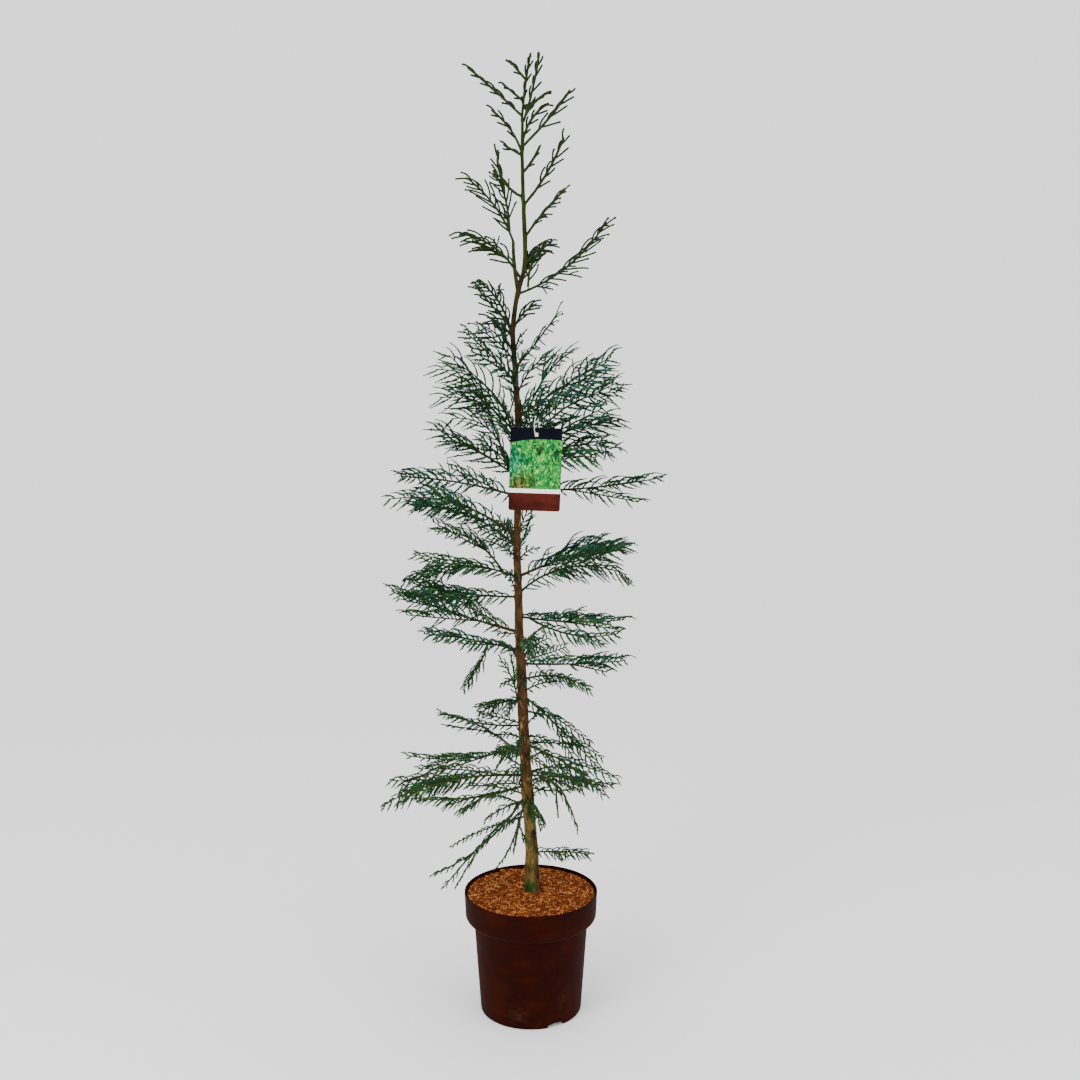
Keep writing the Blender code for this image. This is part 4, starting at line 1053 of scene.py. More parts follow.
# %% [markdown]
# ## Needles
# A redwood needle is a narrow blade, about 3 to 9 mm long here, pressed forward
# along its twig and shrinking to a scale at the tip, which is why the twig ends
# look like dark threads. Most lie to the two sides and some stand on top. A flat
# card would vanish when seen on edge. A blade with a raised midrib needs only
# four corners and four faces: root, tip and the two edges at its widest, with
# the edges set below the rib. That makes a closed body that catches light
# differently on its two halves.

# %% Grow the needles
NEEDLE_EVERY = 0.00135
LEAST_NEEDLES = 3
NEEDLE_PRESSED = 13.0           # degrees from the twig for the closest needles
NEEDLE_SPREAD = 15.0            # degrees more for the lushest
NEEDLE_TURN_PLAY = 0.40         # radians round the twig
NEEDLE_LEAN_PLAY = 5.0          # degrees
NEEDLE_BELOW = 0.35             # share of every third needle that lies below the twig
THREAD_LENGTH = 0.30            # share of a twig over which needles shrink to scales
THREAD_LEAN_LOSS = 0.60
THREAD_SIZE_LOSS = 0.50
STEM_NEEDLE = 0.85              # length beside that of a twig's needle
FINER_NEEDLE = 0.88
dice = np.random.default_rng(5)


def by_habit(arcs, field):
    """One of the habits' numbers for each shoot, by the height of its root."""
    tops = np.array([habit.top for habit in HABITS])
    values = np.array([getattr(habit, field) for habit in HABITS])
    return values[np.searchsorted(tops, arcs.root[:, 2])]


def needles_on(arcs, length, start, rng):
    """Root, direction, width direction and sizes of all needles on some arcs."""
    thread_from = by_habit(arcs, "thread")
    usable = arcs.length * (1.0 - start)
    counts = np.maximum(LEAST_NEEDLES, (usable / NEEDLE_EVERY).astype(int))
    which = np.repeat(np.arange(len(counts)), counts)
    first = np.cumsum(counts) - counts
    order = np.arange(len(which)) - first[which]
    start = np.broadcast_to(start, len(counts))[which]
    u = start + (1.0 - start) * (order + 0.5) / counts[which]
    ahead = arcs.ahead(which, u)
    flat = arcs.flat[which]
    flat = unit(flat - ahead * (flat * ahead).sum(axis=1, keepdims=True))
    normal = np.cross(ahead, flat)
    rank = order % 3            # left, right, then above or below
    turn = np.select([rank == 0, rank == 1], [0.0, math.pi], math.pi / 2)
    turn = np.where((rank == 2) & (rng.random(len(u)) < NEEDLE_BELOW), -math.pi / 2, turn)
    turn = (turn + rng.normal(0.0, NEEDLE_TURN_PLAY, len(u)))[:, None]
    outward = flat * np.cos(turn) + normal * np.sin(turn)
    round_twig = normal * np.cos(turn) - flat * np.sin(turn)
    lush = arcs.lush[which]
    thread = np.clip((u - thread_from[which]) / THREAD_LENGTH, 0.0, 1.0)
    thread = thread ** 2 * (3.0 - 2.0 * thread)
    lean = (NEEDLE_PRESSED + NEEDLE_SPREAD * lush) * (1.0 - THREAD_LEAN_LOSS * thread)
    lean = np.radians(lean + rng.normal(0.0, NEEDLE_LEAN_PLAY, len(u)))
    aim = ahead * np.cos(lean)[:, None] + outward * np.sin(lean)[:, None]
    size = np.broadcast_to(length, len(counts))[which] * (0.65 + 0.35 * lush)
    size = size * np.minimum(1.0, 0.70 + 3.0 * u) * (1.0 - THREAD_SIZE_LOSS * thread)
    size = size * rng.uniform(0.82, 1.18, len(u))
    width = unit(np.cross(aim, round_twig))
    return (arcs.at(which, u), aim, width, np.cross(width, aim), size,
            arcs.tint[which], arcs.spray[which])


top_stem = stems.root[:, 2] > 1.80
stems.lush = np.where(top_stem, 0.35, 0.6) * stems.lush
stem_start = np.where(top_stem, 0.04, 0.25)     # shares that are bare of needles
batches = (needles_on(stems, by_habit(stems, "needle") * STEM_NEEDLE, stem_start, dice),
           needles_on(twigs, by_habit(twigs, "needle"), twigs.bare, dice),
           needles_on(finer, by_habit(finer, "needle") * FINER_NEEDLE, 0.0, dice))
needles = [np.concatenate(parts) for parts in zip(*batches)]
needle_sizes = np.percentile(needles[4], (1, 50, 99)) * 1000
print(len(needles[0]), "needles; short, usual and long ones:", needle_sizes.round(1), "mm")

# %% [markdown]
# ## Green in several tints
# Old needles are deep green or bluish, this year's are fresh, and the leaders are
# olive and bronze. One green with noise in it would look like paint, because the
# noise would not know where a twig ends. Which twig has which tint matters more
# than any pattern on a needle. So each tint is a plain colour in a material of
# its own, and the twigs were dealt their tints as they grew. Roughness and a fine
# bump still vary.

# %% Foliage finishes
TINTS = (
    ("needle_deep", rgb(14, 54, 30)),
    ("needle_blue", rgb(44, 94, 78)),
    ("needle_middle", rgb(38, 88, 40)),
    ("needle_fresh", rgb(72, 118, 52)),
    ("needle_olive", rgb(54, 68, 32)),
    ("needle_bronze", rgb(62, 54, 28)),
)


def leaf_finish(name, colour):
    finish = Finish(name, colour, 0.60, 0.10)
    finish.roughness(finish.noise(300.0), 0.50, 0.70)
    finish.bump(finish.noise(900.0), 0.15, 0.0003)
    return finish


needle_finishes = [leaf_finish(*tint) for tint in TINTS]
print("tints:", ", ".join(name for name, colour in TINTS))

# %% [markdown]
# ## Needle pieces
# All needles in one mesh would be heavy to handle, and a mesh for each spray
# makes a long list. We show them by height and side, in thirteen pieces, and
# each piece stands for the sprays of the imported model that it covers.

# %% Needle pieces
NEEDLE_WIDEST = 0.42            # share of the length where a needle is widest
NEEDLE_SLIM = 0.35              # width beside the length
NEEDLE_LEAST_WIDTH = 0.0018
NEEDLE_FOLD = 0.28              # how deep the edges hang, beside the width
GROUP_BANDS = ((0.90, "low"), (1.28, "middle"), (1.80, "full"), (3.00, "top"))


def needle_mesh(name, root, aim, width, above, size, tint, finishes):
    """Closed blades of four corners and four faces, each in its own tint."""
    half = (np.maximum(size * NEEDLE_SLIM, NEEDLE_LEAST_WIDTH) / 2)[:, None]
    widest = root + aim * (size * NEEDLE_WIDEST)[:, None]
    drop = above * half * NEEDLE_FOLD * 2
    corners = np.stack((root, widest + width * half - drop, widest - width * half - drop,
                        root + aim * size[:, None]), axis=1)
    faces = np.array(((0, 1, 3), (0, 3, 2), (0, 2, 1), (1, 2, 3)))
    triangles = (faces[None] + np.arange(len(root))[:, None, None] * 4).reshape(-1, 3)
    return triangle_mesh(name, corners.reshape(-1, 3), triangles, finishes, np.repeat(tint, 4))


def group_of(name, height):
    """The band and side of the crown that a spray belongs to."""
    side = name.split("_")[0]
    side = side if side in ("left", "right") else "inner"
    band = next(word for top, word in GROUP_BANDS if height < top)
    return f"{band}_{side}"


spray_group = [group_of(name, foot[2]) for name, foot, _, _ in plans]
spray_group += ["tufts"] * len(TUFT_TWIGS)
for group in dict.fromkeys(spray_group):
    members = [k for k, name in enumerate(spray_group) if name == group]
    chosen = np.isin(needles[6], members)
    nodes = [plans[k][0] for k in members if k < len(plans)]
    mesh = needle_mesh("needles_" + group, *(part[chosen] for part in needles[:6]), needle_finishes)
    piece("needles_" + group, mesh, nodes)

# %% [markdown]
# ## Wood of the stems and twigs
# Under its needles each shoot is thin round wood, a yellow green on the lowest
# ones and a dark brown green above. Lines with a bevel would be quicker to draw,
# but every one would be perfectly round. A closed tube along each arc tapers to
# its tip, and a stem gets more sides and a knobbly radius, where old needles have
# dropped.

# %% Stem and twig pieces
YELLOW_WOOD_TOP = 0.75          # heights where the colour of the wood changes
DARK_WOOD_TOP = 1.95
STEM_KNOBS = 0.12               # parts of the radius
FOLIAGE_WOOD = (("green", rgb(30, 44, 14), rgb(62, 74, 28), rgb(16, 36, 16), rgb(40, 60, 26)),
                ("dark", rgb(12, 30, 12), rgb(38, 54, 20), rgb(4, 22, 12), rgb(18, 42, 22)),
                ("top", rgb(22, 34, 10), rgb(44, 56, 18), rgb(14, 28, 12), rgb(34, 48, 20)))


def shoot_mesh(name, arcs, steps, sides, finishes, knobs=0.0):
    """One closed tube for each arc, thick at its root and thin at its tip."""
    count = len(arcs.rows)
    u = np.linspace(0.0, 1.0, steps)
    index = np.arange(count)
    paths = arcs.at(np.repeat(index, steps).reshape(count, steps), np.tile(u, (count, 1)))
    radii = arcs.thick[:, None] + (arcs.thin - arcs.thick)[:, None] * u
    relief = 1.0 + dice.uniform(-knobs, knobs, (count, steps, sides))
    points = tube_points(paths, radii, sides, relief).reshape(-1, 3)
    triangles = tube_triangles(count, steps, sides)
    height = arcs.root[:, 2]
    which = np.select([height < YELLOW_WOOD_TOP, height < DARK_WOOD_TOP], [0, 1], 2)
    each = len(triangles) // count
    return triangle_mesh(name, points, triangles, finishes, np.repeat(which, each), smooth=True)


def wood_finish(name, dark, light):
    finish = Finish(name, dark, 0.75, 0.10)
    finish.colour(finish.ramp(finish.noise(220.0), (0.35, dark), (0.7, light)))
    finish.bump(finish.noise(500.0), 0.4, 0.0006)
    return finish


wood_finishes = [wood_finish(row[0] + "_wood", *row[1:3]) for row in FOLIAGE_WOOD]
twig_finishes = [wood_finish(row[0] + "_twig", *row[3:5]) for row in FOLIAGE_WOOD]
spray_nodes = [plan[0] for plan in plans]
piece("stems", shoot_mesh("stems", stems, 18, 6, wood_finishes, STEM_KNOBS), spray_nodes)
piece("twigs", shoot_mesh("twigs", twigs, 7, 3, twig_finishes), spray_nodes)
piece("finer_twigs", shoot_mesh("finer_twigs", finer, 4, 3, twig_finishes), spray_nodes)

# %% [markdown]
# ## Buds
# The young shoots of the top end in knobs: a bud in its scales, with four smaller
# ones beside it on the stems. Spheres would look like berries. Each bud is a
# short tube that swells and closes again, set on the tip of its shoot and turned
# the way the shoot points.

# %% Buds
BUDS_FROM = 1.80
BUD_LENGTH = 0.0080
BUD_RADIUS = 0.0032
BUD_SHAPE = (0.45, 0.90, 1.00, 0.75, 0.15)      # radius from root to point
BUD_SIDES = 6
BUD_SINK = 0.002                # how deep a bud sits on its tip
BUD_SHARE = 0.55                # of the twigs that end in one
SIDE_BUDS = 4
SIDE_BUD_SPREAD = 0.65
SIDE_BUD_BACK = (0.003, 0.012)


def bud_rows(arcs, share, luck, companions):
    """Roots, directions and sizes of the buds at the tips of some shoots."""
    high = np.flatnonzero((arcs.root[:, 2] > BUDS_FROM) & (luck.random(len(arcs.rows)) < share))
    tips, ahead = arcs.at(high, np.ones(len(high))), arcs.ahead(high, np.ones(len(high)))
    rows = [(tips - ahead * BUD_SINK, ahead, luck.uniform(0.75, 1.10, len(high)))]
    for k in range(companions):
        aside = unit(ahead + luck.normal(0.0, SIDE_BUD_SPREAD, ahead.shape))
        back = ahead * luck.uniform(*SIDE_BUD_BACK, (len(high), 1))
        rows.append((tips - back, aside, luck.uniform(0.65, 0.95, len(high))))
    return rows


def bud_mesh(name, finishes):
    luck = np.random.default_rng(17)
    rows = bud_rows(stems, 1.0, luck, SIDE_BUDS) + bud_rows(twigs, BUD_SHARE, luck, 0)
    root, ahead, size = (np.concatenate(parts) for parts in zip(*rows))
    along = np.linspace(0.0, BUD_LENGTH, len(BUD_SHAPE))
    paths = root[:, None] + ahead[:, None] * along[None, :, None] * size[:, None, None]
    radii = size[:, None] * BUD_RADIUS * np.array(BUD_SHAPE)[None]
    points = tube_points(paths, radii, BUD_SIDES).reshape(-1, 3)
    triangles = tube_triangles(len(root), len(BUD_SHAPE), BUD_SIDES)
    print(len(root), "buds")
    return triangle_mesh(name, points, triangles, finishes, smooth=True)


bud_scales = wood_finish("bud_scales", rgb(28, 36, 14), rgb(60, 62, 30))
piece("buds", bud_mesh("buds", [bud_scales]))

# %% [markdown]
# ## Shape of the bark
# Young redwood bark is stringy: shallow furrows run up it, thin flakes lift off,
# and a collar swells round each branch. We could leave that to a bump map, but
# the edge of the trunk would stay smooth, so noise moves the corners of a fine
# mesh instead. Long noise makes the furrows and short noise the flakes. At the
# foot a low flare with four lobes stands where the roots begin.

# %% Trunk shape
TRUNK_RINGS = 560
TRUNK_SIDES = 30
TRUNK_SINK = 0.012              # how far the trunk runs down into the mix
FLARE_WIDTH = 0.003
FLARE_HEIGHT = 0.030
FLARE_LOBES = 4
COLLAR_SWELL = 0.0022
COLLAR_HALF = 0.009             # how far up and down a swelling reaches
COLLAR_ROUND = 0.7              # radians to each side
COLLAR_NEAR = 0.03              # swellings farther off than this are left out


def bark_relief(x, y, height, youth):
    """How far the bark stands out, in parts of the radius."""
    furrow = noise.noise(Vector((x * 260, y * 260, height * 14)))
    flake = noise.noise(Vector((x * 500 + 7, y * 500, height * 90)))
    lump = noise.noise(Vector((x * 60, y * 60 + 3, height * 22)))
    return (0.15 * furrow + 0.08 * flake) * (1.0 - 0.5 * youth) + 0.07 * lump


def collar_swell(turn, height, swells):
    """How far the trunk swells here round the roots of its sprays."""
    swell = 0.0
    for level, azimuth in swells:
        apart = (turn - azimuth + math.pi) % math.tau - math.pi
        closeness = -((height - level) / COLLAR_HALF) ** 2 - (apart / COLLAR_ROUND) ** 2
        swell += COLLAR_SWELL * math.exp(closeness)
    return swell


def build_trunk():
    foot, top = TRUNK_STATIONS[0][0] - TRUNK_SINK, TRUNK_STATIONS[-1][0]
    heights = np.linspace(foot, top, TRUNK_RINGS)
    collars = [(plan[1][2], math.radians(plan[2][0].azimuth)) for plan in plans if plan[3]]
    points = np.zeros((TRUNK_RINGS, TRUNK_SIDES, 3))
    for row, height in enumerate(heights):
        centre, radius = trunk_at(height)
        centre[2] = height
        youth = (height - foot) / (top - foot)
        fade = math.exp(-max(height - TRUNK_STATIONS[0][0], 0.0) / FLARE_HEIGHT)
        swells = [collar for collar in collars if abs(collar[0] - height) < COLLAR_NEAR]
        for k in range(TRUNK_SIDES):
            turn = math.tau * k / TRUNK_SIDES
            lobes = 0.6 + 0.4 * math.cos(FLARE_LOBES * turn + 0.7)
            x, y = math.cos(turn), math.sin(turn)
            reach = radius * (1.0 + bark_relief(x * radius, y * radius, height, youth))
            reach += FLARE_WIDTH * fade * lobes + collar_swell(turn, height, swells)
            points[row, k] = centre + np.array((x, y, 0.0)) * reach
    return points.reshape(-1, 3)


trunk_points = build_trunk()
print("trunk of", len(trunk_points), "corners, up to", trunk_points[:, 2].max().round(3), "m")

# %% [markdown]
# ## Colour of the bark
# The foot of the trunk is a weathered straw brown with a patch of moss. Higher up
# it is red brown, darker at chest height, and green where it is young. A single
# gradient would look sprayed on. Patches of noise choose the colour within each
# height, and four such tones are blended by height. Over them lie pale flecks
# where flakes have lifted, dark cracks along the fibres that are partly the
# bark's own colour and partly painted shade in the hollows of the bump, and the moss.

# %% Bark finish
MOSS_SPOT = (-0.004, 0.001, 0.342)      # the damp front of the trunk's foot
MOSS_RADIUS = 0.031
BARK_TONES = (                  # where each begins and is full, then its colours
    (0.00, 0.00, (0.36, rgb(28, 26, 14)), (0.46, rgb(74, 62, 32)), (0.56, rgb(104, 84, 44)),
     (0.66, rgb(40, 30, 16))),
    (0.50, 0.72, (0.38, rgb(40, 27, 16)), (0.52, rgb(70, 47, 26)), (0.66, rgb(30, 22, 14))),
    (1.25, 1.50, (0.40, rgb(24, 18, 10)), (0.60, rgb(48, 32, 17))),
    (1.85, 2.10, (0.40, rgb(24, 34, 10)), (0.60, rgb(46, 54, 20))),
)
bark = Finish("bark", rgb(110, 70, 42), 0.9, 0.06)
patches = bark.noise(26.0, 4.0, (1.0, 1.0, 0.5))
fibres = bark.noise(300.0, 4.0, (1.0, 1.0, 0.10))
flecks = bark.noise(120.0, 3.0, (1.0, 1.0, 0.40))
tone = bark.ramp(patches, *BARK_TONES[0][2:])
for low, high, *stops in BARK_TONES[1:]:
    tone = bark.blend(bark.height(low, high), tone, bark.ramp(patches, *stops))

light = bark.ramp(flecks, (0.55, BLACK), (0.72, WHITE))
pale = bark.ramp(patches, (0.3, rgb(138, 100, 58)), (0.7, rgb(164, 130, 84)))
old_wood = bark.height(2.0, 1.2)
lifted = bark.times(bark.times(light, old_wood), bark.spread(fibres, 0.3, 0.7, 0.2, 0.9))
tone = bark.blend(lifted, tone, pale)
# Dark crack colour where the bump is lowest: partly the bark's dark fibres, partly painted shade in its
# hollows.
dark = bark.ramp(fibres, (0.34, WHITE), (0.48, BLACK))
crack_and_hollow_shade = bark.ramp(patches, (0.0, rgb(20, 9, 4)), (1.0, rgb(30, 16, 8)))
tone = bark.blend(bark.times(dark, bark.spread(flecks, 0.3, 0.7, 0.3, 0.9)), tone, crack_and_hollow_shade)
moss_green = bark.ramp(flecks, (0.35, rgb(10, 30, 10)), (0.65, rgb(36, 80, 28)))
moss = bark.times(bark.near(MOSS_SPOT, MOSS_RADIUS), bark.spread(flecks, 0.35, 0.65, 0.4, 1.5))
tone = bark.blend(bark.spread(moss, 0.25, 0.55), tone, moss_green)
bark.colour(tone)
bark.bump(fibres, 0.6, 0.0012)

trunk_mesh = triangle_mesh("trunk_bark", trunk_points, tube_triangles(1, TRUNK_RINGS, TRUNK_SIDES),
                           [bark], smooth=True)
piece("trunk_bark", trunk_mesh, ["trunk"])

# %% [markdown]
# ## Boughs
# Five sprays spring from boughs thick enough to have bark of their own, and one
# old limb was pruned to a stub. Modelling each by hand would take long and none
# would meet its stem. Each is a tube along the first part of its own stem's arc,
# with the trunk's relief, and it thins into the stem it carries.

# %% Boughs with bark
BOUGH_STEPS = 44
BOUGH_SIDES = 14
BOUGH_GIRTH = 1.20              # beside its stem
BOUGH_TAPER = 0.0030
BOUGH_STEP_LENGTH = 0.0025      # metres of bark pattern from ring to ring
BOUGH_YOUTH = 0.3


def bough_radii(stem, end):
    shares = np.linspace(0.0, end, BOUGH_STEPS)
    return stem_radius(stem) * BOUGH_GIRTH - BOUGH_TAPER * shares


bough_wood = Finish("bough_wood", rgb(46, 44, 20), 0.9, 0.06)
weathering = bough_wood.noise(60.0, 4.0)
bough_wood.colour(bough_wood.ramp(weathering, (0.35, rgb(24, 26, 10)), (0.5, rgb(44, 42, 18)),
                                  (0.65, rgb(66, 54, 28))))
bough_wood.bump(bough_wood.noise(300.0), 0.5, 0.0010)

limbs = [(plan.name + "_bough", plan.stems[0], plan.bough, bough_radii(plan.stems[0], plan.bough))
         for plan in MASSES if plan.bough]
limbs.append(("pruned_stub", STUB, 1.0, np.linspace(*STUB_RADII, BOUGH_STEPS)))
paths = np.array([points_on(stem_arc(trunk_at(stem.start)[0], stem), np.linspace(0.0, end, BOUGH_STEPS))
                  for name, stem, end, girth in limbs])
radii = np.array([girth for name, stem, end, girth in limbs])
relief = np.ones((len(limbs), BOUGH_STEPS, BOUGH_SIDES))
for index in np.ndindex(relief.shape):
    limb, step, k = index
    turn = math.tau * k / BOUGH_SIDES
    x, y = math.cos(turn) * radii[limb, step], math.sin(turn) * radii[limb, step]
    relief[index] += bark_relief(x + limb, y, step * BOUGH_STEP_LENGTH, BOUGH_YOUTH)
bough_points = tube_points(paths, radii, BOUGH_SIDES, relief).reshape(-1, 3)
bough_faces = tube_triangles(len(limbs), BOUGH_STEPS, BOUGH_SIDES)
piece("bough_bark", triangle_mesh("bough_bark", bough_points, bough_faces, [bough_wood], smooth=True),
      [name for name, stem, end, girth in limbs])

# %% [markdown]
# ## Turned shapes
# A potter's or a moulder's round shape is one profile, turned about an axis.
# Blender's Spin tool does that by hand. A stack of cones would show a hard line
# at each joint, and a moulded edge is never sharp, so we first round the corners
# of the profile. The same rings will make the bed of potting mix.

# %% Turned shapes
LEAST_ARC = 0.0006              # no corner is rounded by less than this


def face_outward(mesh):
    """Turn every face of a closed mesh to the outside, as a Boolean needs."""
    shape = bmesh.new()
    shape.from_mesh(mesh)
    bmesh.ops.recalc_face_normals(shape, faces=shape.faces)
    shape.to_mesh(mesh)
    shape.free()
    return mesh


def rounded(profile, radius, steps=4):
    """Replace each inner corner of a profile by a short arc, where it has room."""
    points = [Vector(profile[0])]
    for before, here, after in zip(profile, profile[1:], profile[2:]):
        before, here, after = Vector(before), Vector(here), Vector(after)
        room = min((before - here).length, (after - here).length) * 0.45
        ease = min(radius, room)
        if ease < LEAST_ARC:
            points.append(here)
            continue
        start = here + (before - here).normalized() * ease
        end = here + (after - here).normalized() * ease
        for k in range(steps + 1):
            u = k / steps
            points.append(start * (1 - u) ** 2 + here * (2 * u * (1 - u)) + end * u ** 2)
    points.append(Vector(profile[-1]))
    return [(point.x, point.y) for point in points]


def ring(radius, height, sides):
    """The corners of one level ring round the pot's axis."""
    turns = [math.tau * k / sides for k in range(sides)]
    return [(radius * math.cos(turn), radius * math.sin(turn), height) for turn in turns]


def ring_faces(rings, sides):
    """Faces over stacked rings, with a fan to one point at each end."""
    last = 1 + (rings - 1) * sides
    faces = []
    for k in range(sides):
        n = (k + 1) % sides
        faces.append((0, 1 + n, 1 + k))
        for low in range(1, last, sides):
            high = low + sides
            faces.append((low + k, low + n, high + n, high + k))
        faces.append((last + k, last + n, last + sides))
    return faces


def turned_mesh(name, profile, sides):
    """Spin (radius, height) points round the pot's axis; both ends lie on it."""
    points = [(0.0, 0.0, profile[0][1])]
    for radius, height in profile[1:-1]:
        points += ring(radius, height, sides)
    points.append((0.0, 0.0, profile[-1][1]))
    mesh = bpy.data.meshes.new(name)
    mesh.from_pydata(points, [], ring_faces(len(profile) - 2, sides))
    return face_outward(mesh)


print("a ring starts at", ring(1.0, 0.0, 4)[0])

# %% [markdown]
# ## Nursery pot
# The pot is blow-moulded dark brown plastic: a plain wall that widens upward and
# a stiff collar 8 cm tall under the rim. A solid block with a hole would have a
# thick wall. We draw the outside of the wall upward and its inside down again,
# so the pot is hollow and has its real thickness at the rim.

# %% Pot shape
POT_FOOT_RADIUS = 0.1385
POT_WAIST_RADIUS = 0.156
POT_WALL = 0.004
POT_SIDES = 160
POT_EDGE = 0.006                # how far a rounded corner reaches
COLLAR_HEIGHT = 0.080
COLLAR_CHAMFER = 0.010
COLLAR_DRAFT = 0.003
CREASE = 0.001                  # keeps the corners under the collar sharp


def pot_profile():
    """Up the outside of the wall and down its inside, as (radius, height)."""
    collar_foot = POT_HEIGHT - COLLAR_HEIGHT
    collar_radius = POT_RIM_RADIUS - COLLAR_DRAFT
    outer = [(0.0, 0.0), (POT_FOOT_RADIUS, 0.0),
             (POT_WAIST_RADIUS, collar_foot),
             (POT_WAIST_RADIUS + CREASE, collar_foot),
             (collar_radius - COLLAR_CHAMFER - CREASE, collar_foot),
             (collar_radius - COLLAR_CHAMFER, collar_foot),
             (collar_radius, collar_foot + COLLAR_CHAMFER),
             (POT_RIM_RADIUS, POT_HEIGHT)]
    inner = [(POT_RIM_RADIUS - POT_WALL, POT_HEIGHT),
             (collar_radius - POT_WALL, collar_foot + COLLAR_CHAMFER),
             (collar_radius - COLLAR_CHAMFER - POT_WALL, collar_foot + POT_WALL),
             (POT_WAIST_RADIUS - POT_WALL, collar_foot),
             (POT_FOOT_RADIUS - POT_WALL, POT_WALL), (0.0, POT_WALL)]
    return rounded(outer + inner, POT_EDGE)


pot = piece("nursery_pot", turned_mesh("nursery_pot", pot_profile(), POT_SIDES), ["pot"])

# %% [markdown]
# ## Drainage notches
# Water leaves the pot through three arched notches that run from the foot into
# the floor. A turned profile is the same all round, so it cannot have them. One
# Boolean joins a thin pocket to the inside of the wall for each notch, so that
# the mix stays covered, and a second one cuts the arch out of it.

# %% Notches in the foot
NOTCH_WIDTH = 0.052
NOTCH_HEIGHT = 0.013
NOTCH_DEPTH = 0.020
NOTCH_AZIMUTHS = (300, 60, 180)
NOTCH_SHOULDER = 0.45           # straight share of the notch's height
ARCH_STEPS = 8
POCKET_WALL = 0.002
POCKET_FOOT, POCKET_INSET = 0.001, 0.004
CUT_FOOT, CUT_OUTSET = -0.002, 0.03     # the cutter runs past the wall


def notch_block(azimuth, grow, foot, outer):
    """An arched block across the foot of the wall, made larger by grow."""
    half = NOTCH_WIDTH / 2 + grow
    arch = [(-half, foot), (half, foot)]
    for k in range(ARCH_STEPS + 1):
        turn = math.pi * k / ARCH_STEPS
        rise = NOTCH_SHOULDER + (1.0 - NOTCH_SHOULDER) * math.sin(turn)
        arch.append((half * math.cos(turn), NOTCH_HEIGHT * rise + grow))
    out, along = heading(azimuth), np.cross(UP, heading(azimuth))
    near = POT_FOOT_RADIUS - NOTCH_DEPTH - grow
    points = [out * depth + along * x + UP * z for depth in (near, outer) for x, z in arch]
    count = len(arch)
    faces = [tuple(range(count)), tuple(reversed(range(count, 2 * count)))]
    faces += [(k, count + k, count + (k + 1) % count, (k + 1) % count) for k in range(count)]
    mesh = bpy.data.meshes.new("notch")
    mesh.from_pydata([tuple(point) for point in points], [], faces)
    cutter = bpy.data.objects.new("notch", face_outward(mesh))
    bpy.context.scene.collection.objects.link(cutter)
    return cutter


def carve(obj, cutters, operation="DIFFERENCE"):
    """Subtract or join each block, keep the result as the mesh, and clear up."""
    for cutter in cutters:
        cut = obj.modifiers.new("cut", "BOOLEAN")
        cut.operation = operation
        cut.object = cutter
    bpy.context.view_layer.update()
    graph = bpy.context.evaluated_depsgraph_get()
    done = bpy.data.meshes.new_from_object(obj.evaluated_get(graph))
    obj.modifiers.clear()
    obj.data = done
    for cutter in cutters:
        bpy.data.objects.remove(cutter, do_unlink=True)


def smooth_but_sharp(mesh, angle):
    """Smooth shading that keeps edges sharper than an angle."""
    mesh.shade_smooth()
    mesh.set_sharp_from_angle(angle=math.radians(angle))


print("notches at", NOTCH_AZIMUTHS, "degrees")

# %% [markdown]
# ## Worn brown plastic
# The plastic is a red brown that is almost black, with cloudy patches where it
# was handled, fine scuffs that run round the wall, and two pale smears near the
# foot. One flat colour would look new. Noise drawn out sideways makes the scuffs,
# and the smears are streaks that fade with the distance from a spot. The finish
# goes on before the cuts, so that their new faces get it too.

# %% Pot plastic
SMEARS = (((-0.035, -0.135, 0.040), 0.040), ((0.085, -0.110, 0.075), 0.035))    # spot, size
pot_plastic = Finish("pot_plastic", rgb(30, 6, 2), 0.6, 0.04)
smudges = pot_plastic.noise(14.0, 4.0, (1.0, 1.0, 1.6))
scuffs = pot_plastic.noise(60.0, 5.0, (1.0, 1.0, 5.0), 1.5)
plastic_tone = pot_plastic.ramp(smudges, (0.35, rgb(28, 2, 0)), (0.52, rgb(34, 4, 0)),
                                (0.68, rgb(42, 10, 2)))
scuff_tone = pot_plastic.ramp(scuffs, (0.0, rgb(56, 32, 16)), (1.0, rgb(84, 58, 36)))
scuffed = pot_plastic.ramp(scuffs, (0.64, BLACK), (0.80, rgb(90, 90, 90)))
body_tone = pot_plastic.blend(scuffed, plastic_tone, scuff_tone)
for spot, size in SMEARS:
    streak = pot_plastic.spread(pot_plastic.noise(40.0, 3.0, (1.0, 1.0, 9.0)), 0.45, 0.75, 0.0, 0.7)
    smear = pot_plastic.times(pot_plastic.near(spot, size), streak)
    body_tone = pot_plastic.blend(smear, body_tone, scuff_tone)
pot_plastic.colour(body_tone)
pot_plastic.roughness(smudges, 0.64, 0.80)
pot_plastic.bump(pot_plastic.noise(700.0, 2.0), 0.10, 0.0004)
pot.data.materials.append(pot_plastic.material)

carve(pot, [notch_block(azimuth, POCKET_WALL, POCKET_FOOT, POT_FOOT_RADIUS - POCKET_INSET)
            for azimuth in NOTCH_AZIMUTHS], "UNION")
carve(pot, [notch_block(azimuth, 0.0, CUT_FOOT, POT_FOOT_RADIUS + CUT_OUTSET)
            for azimuth in NOTCH_AZIMUTHS])
smooth_but_sharp(pot.data, 38.0)
print("pot with notches:", len(pot.data.polygons), "faces")

# %% [markdown]
# ## Potting mix
# The mix fills the pot to 1 cm under the rim. A flat disc would show as a lid
# between the chips, so the bed is a closed body of rings that follows the pot's
# inside, and its top is uneven and a little lower towards the rim.

# %% Mix bed
BED_SIDES = 72
BED_RINGS = 26
BED_BUMPS = 0.0030
BED_LEVELS = (0.018, 0.10, 0.25)
BED_COLLAR_STEP = 0.004
WALL_GAP, COLLAR_GAP = 0.0012, 0.0006   # a hair between mix and plastic


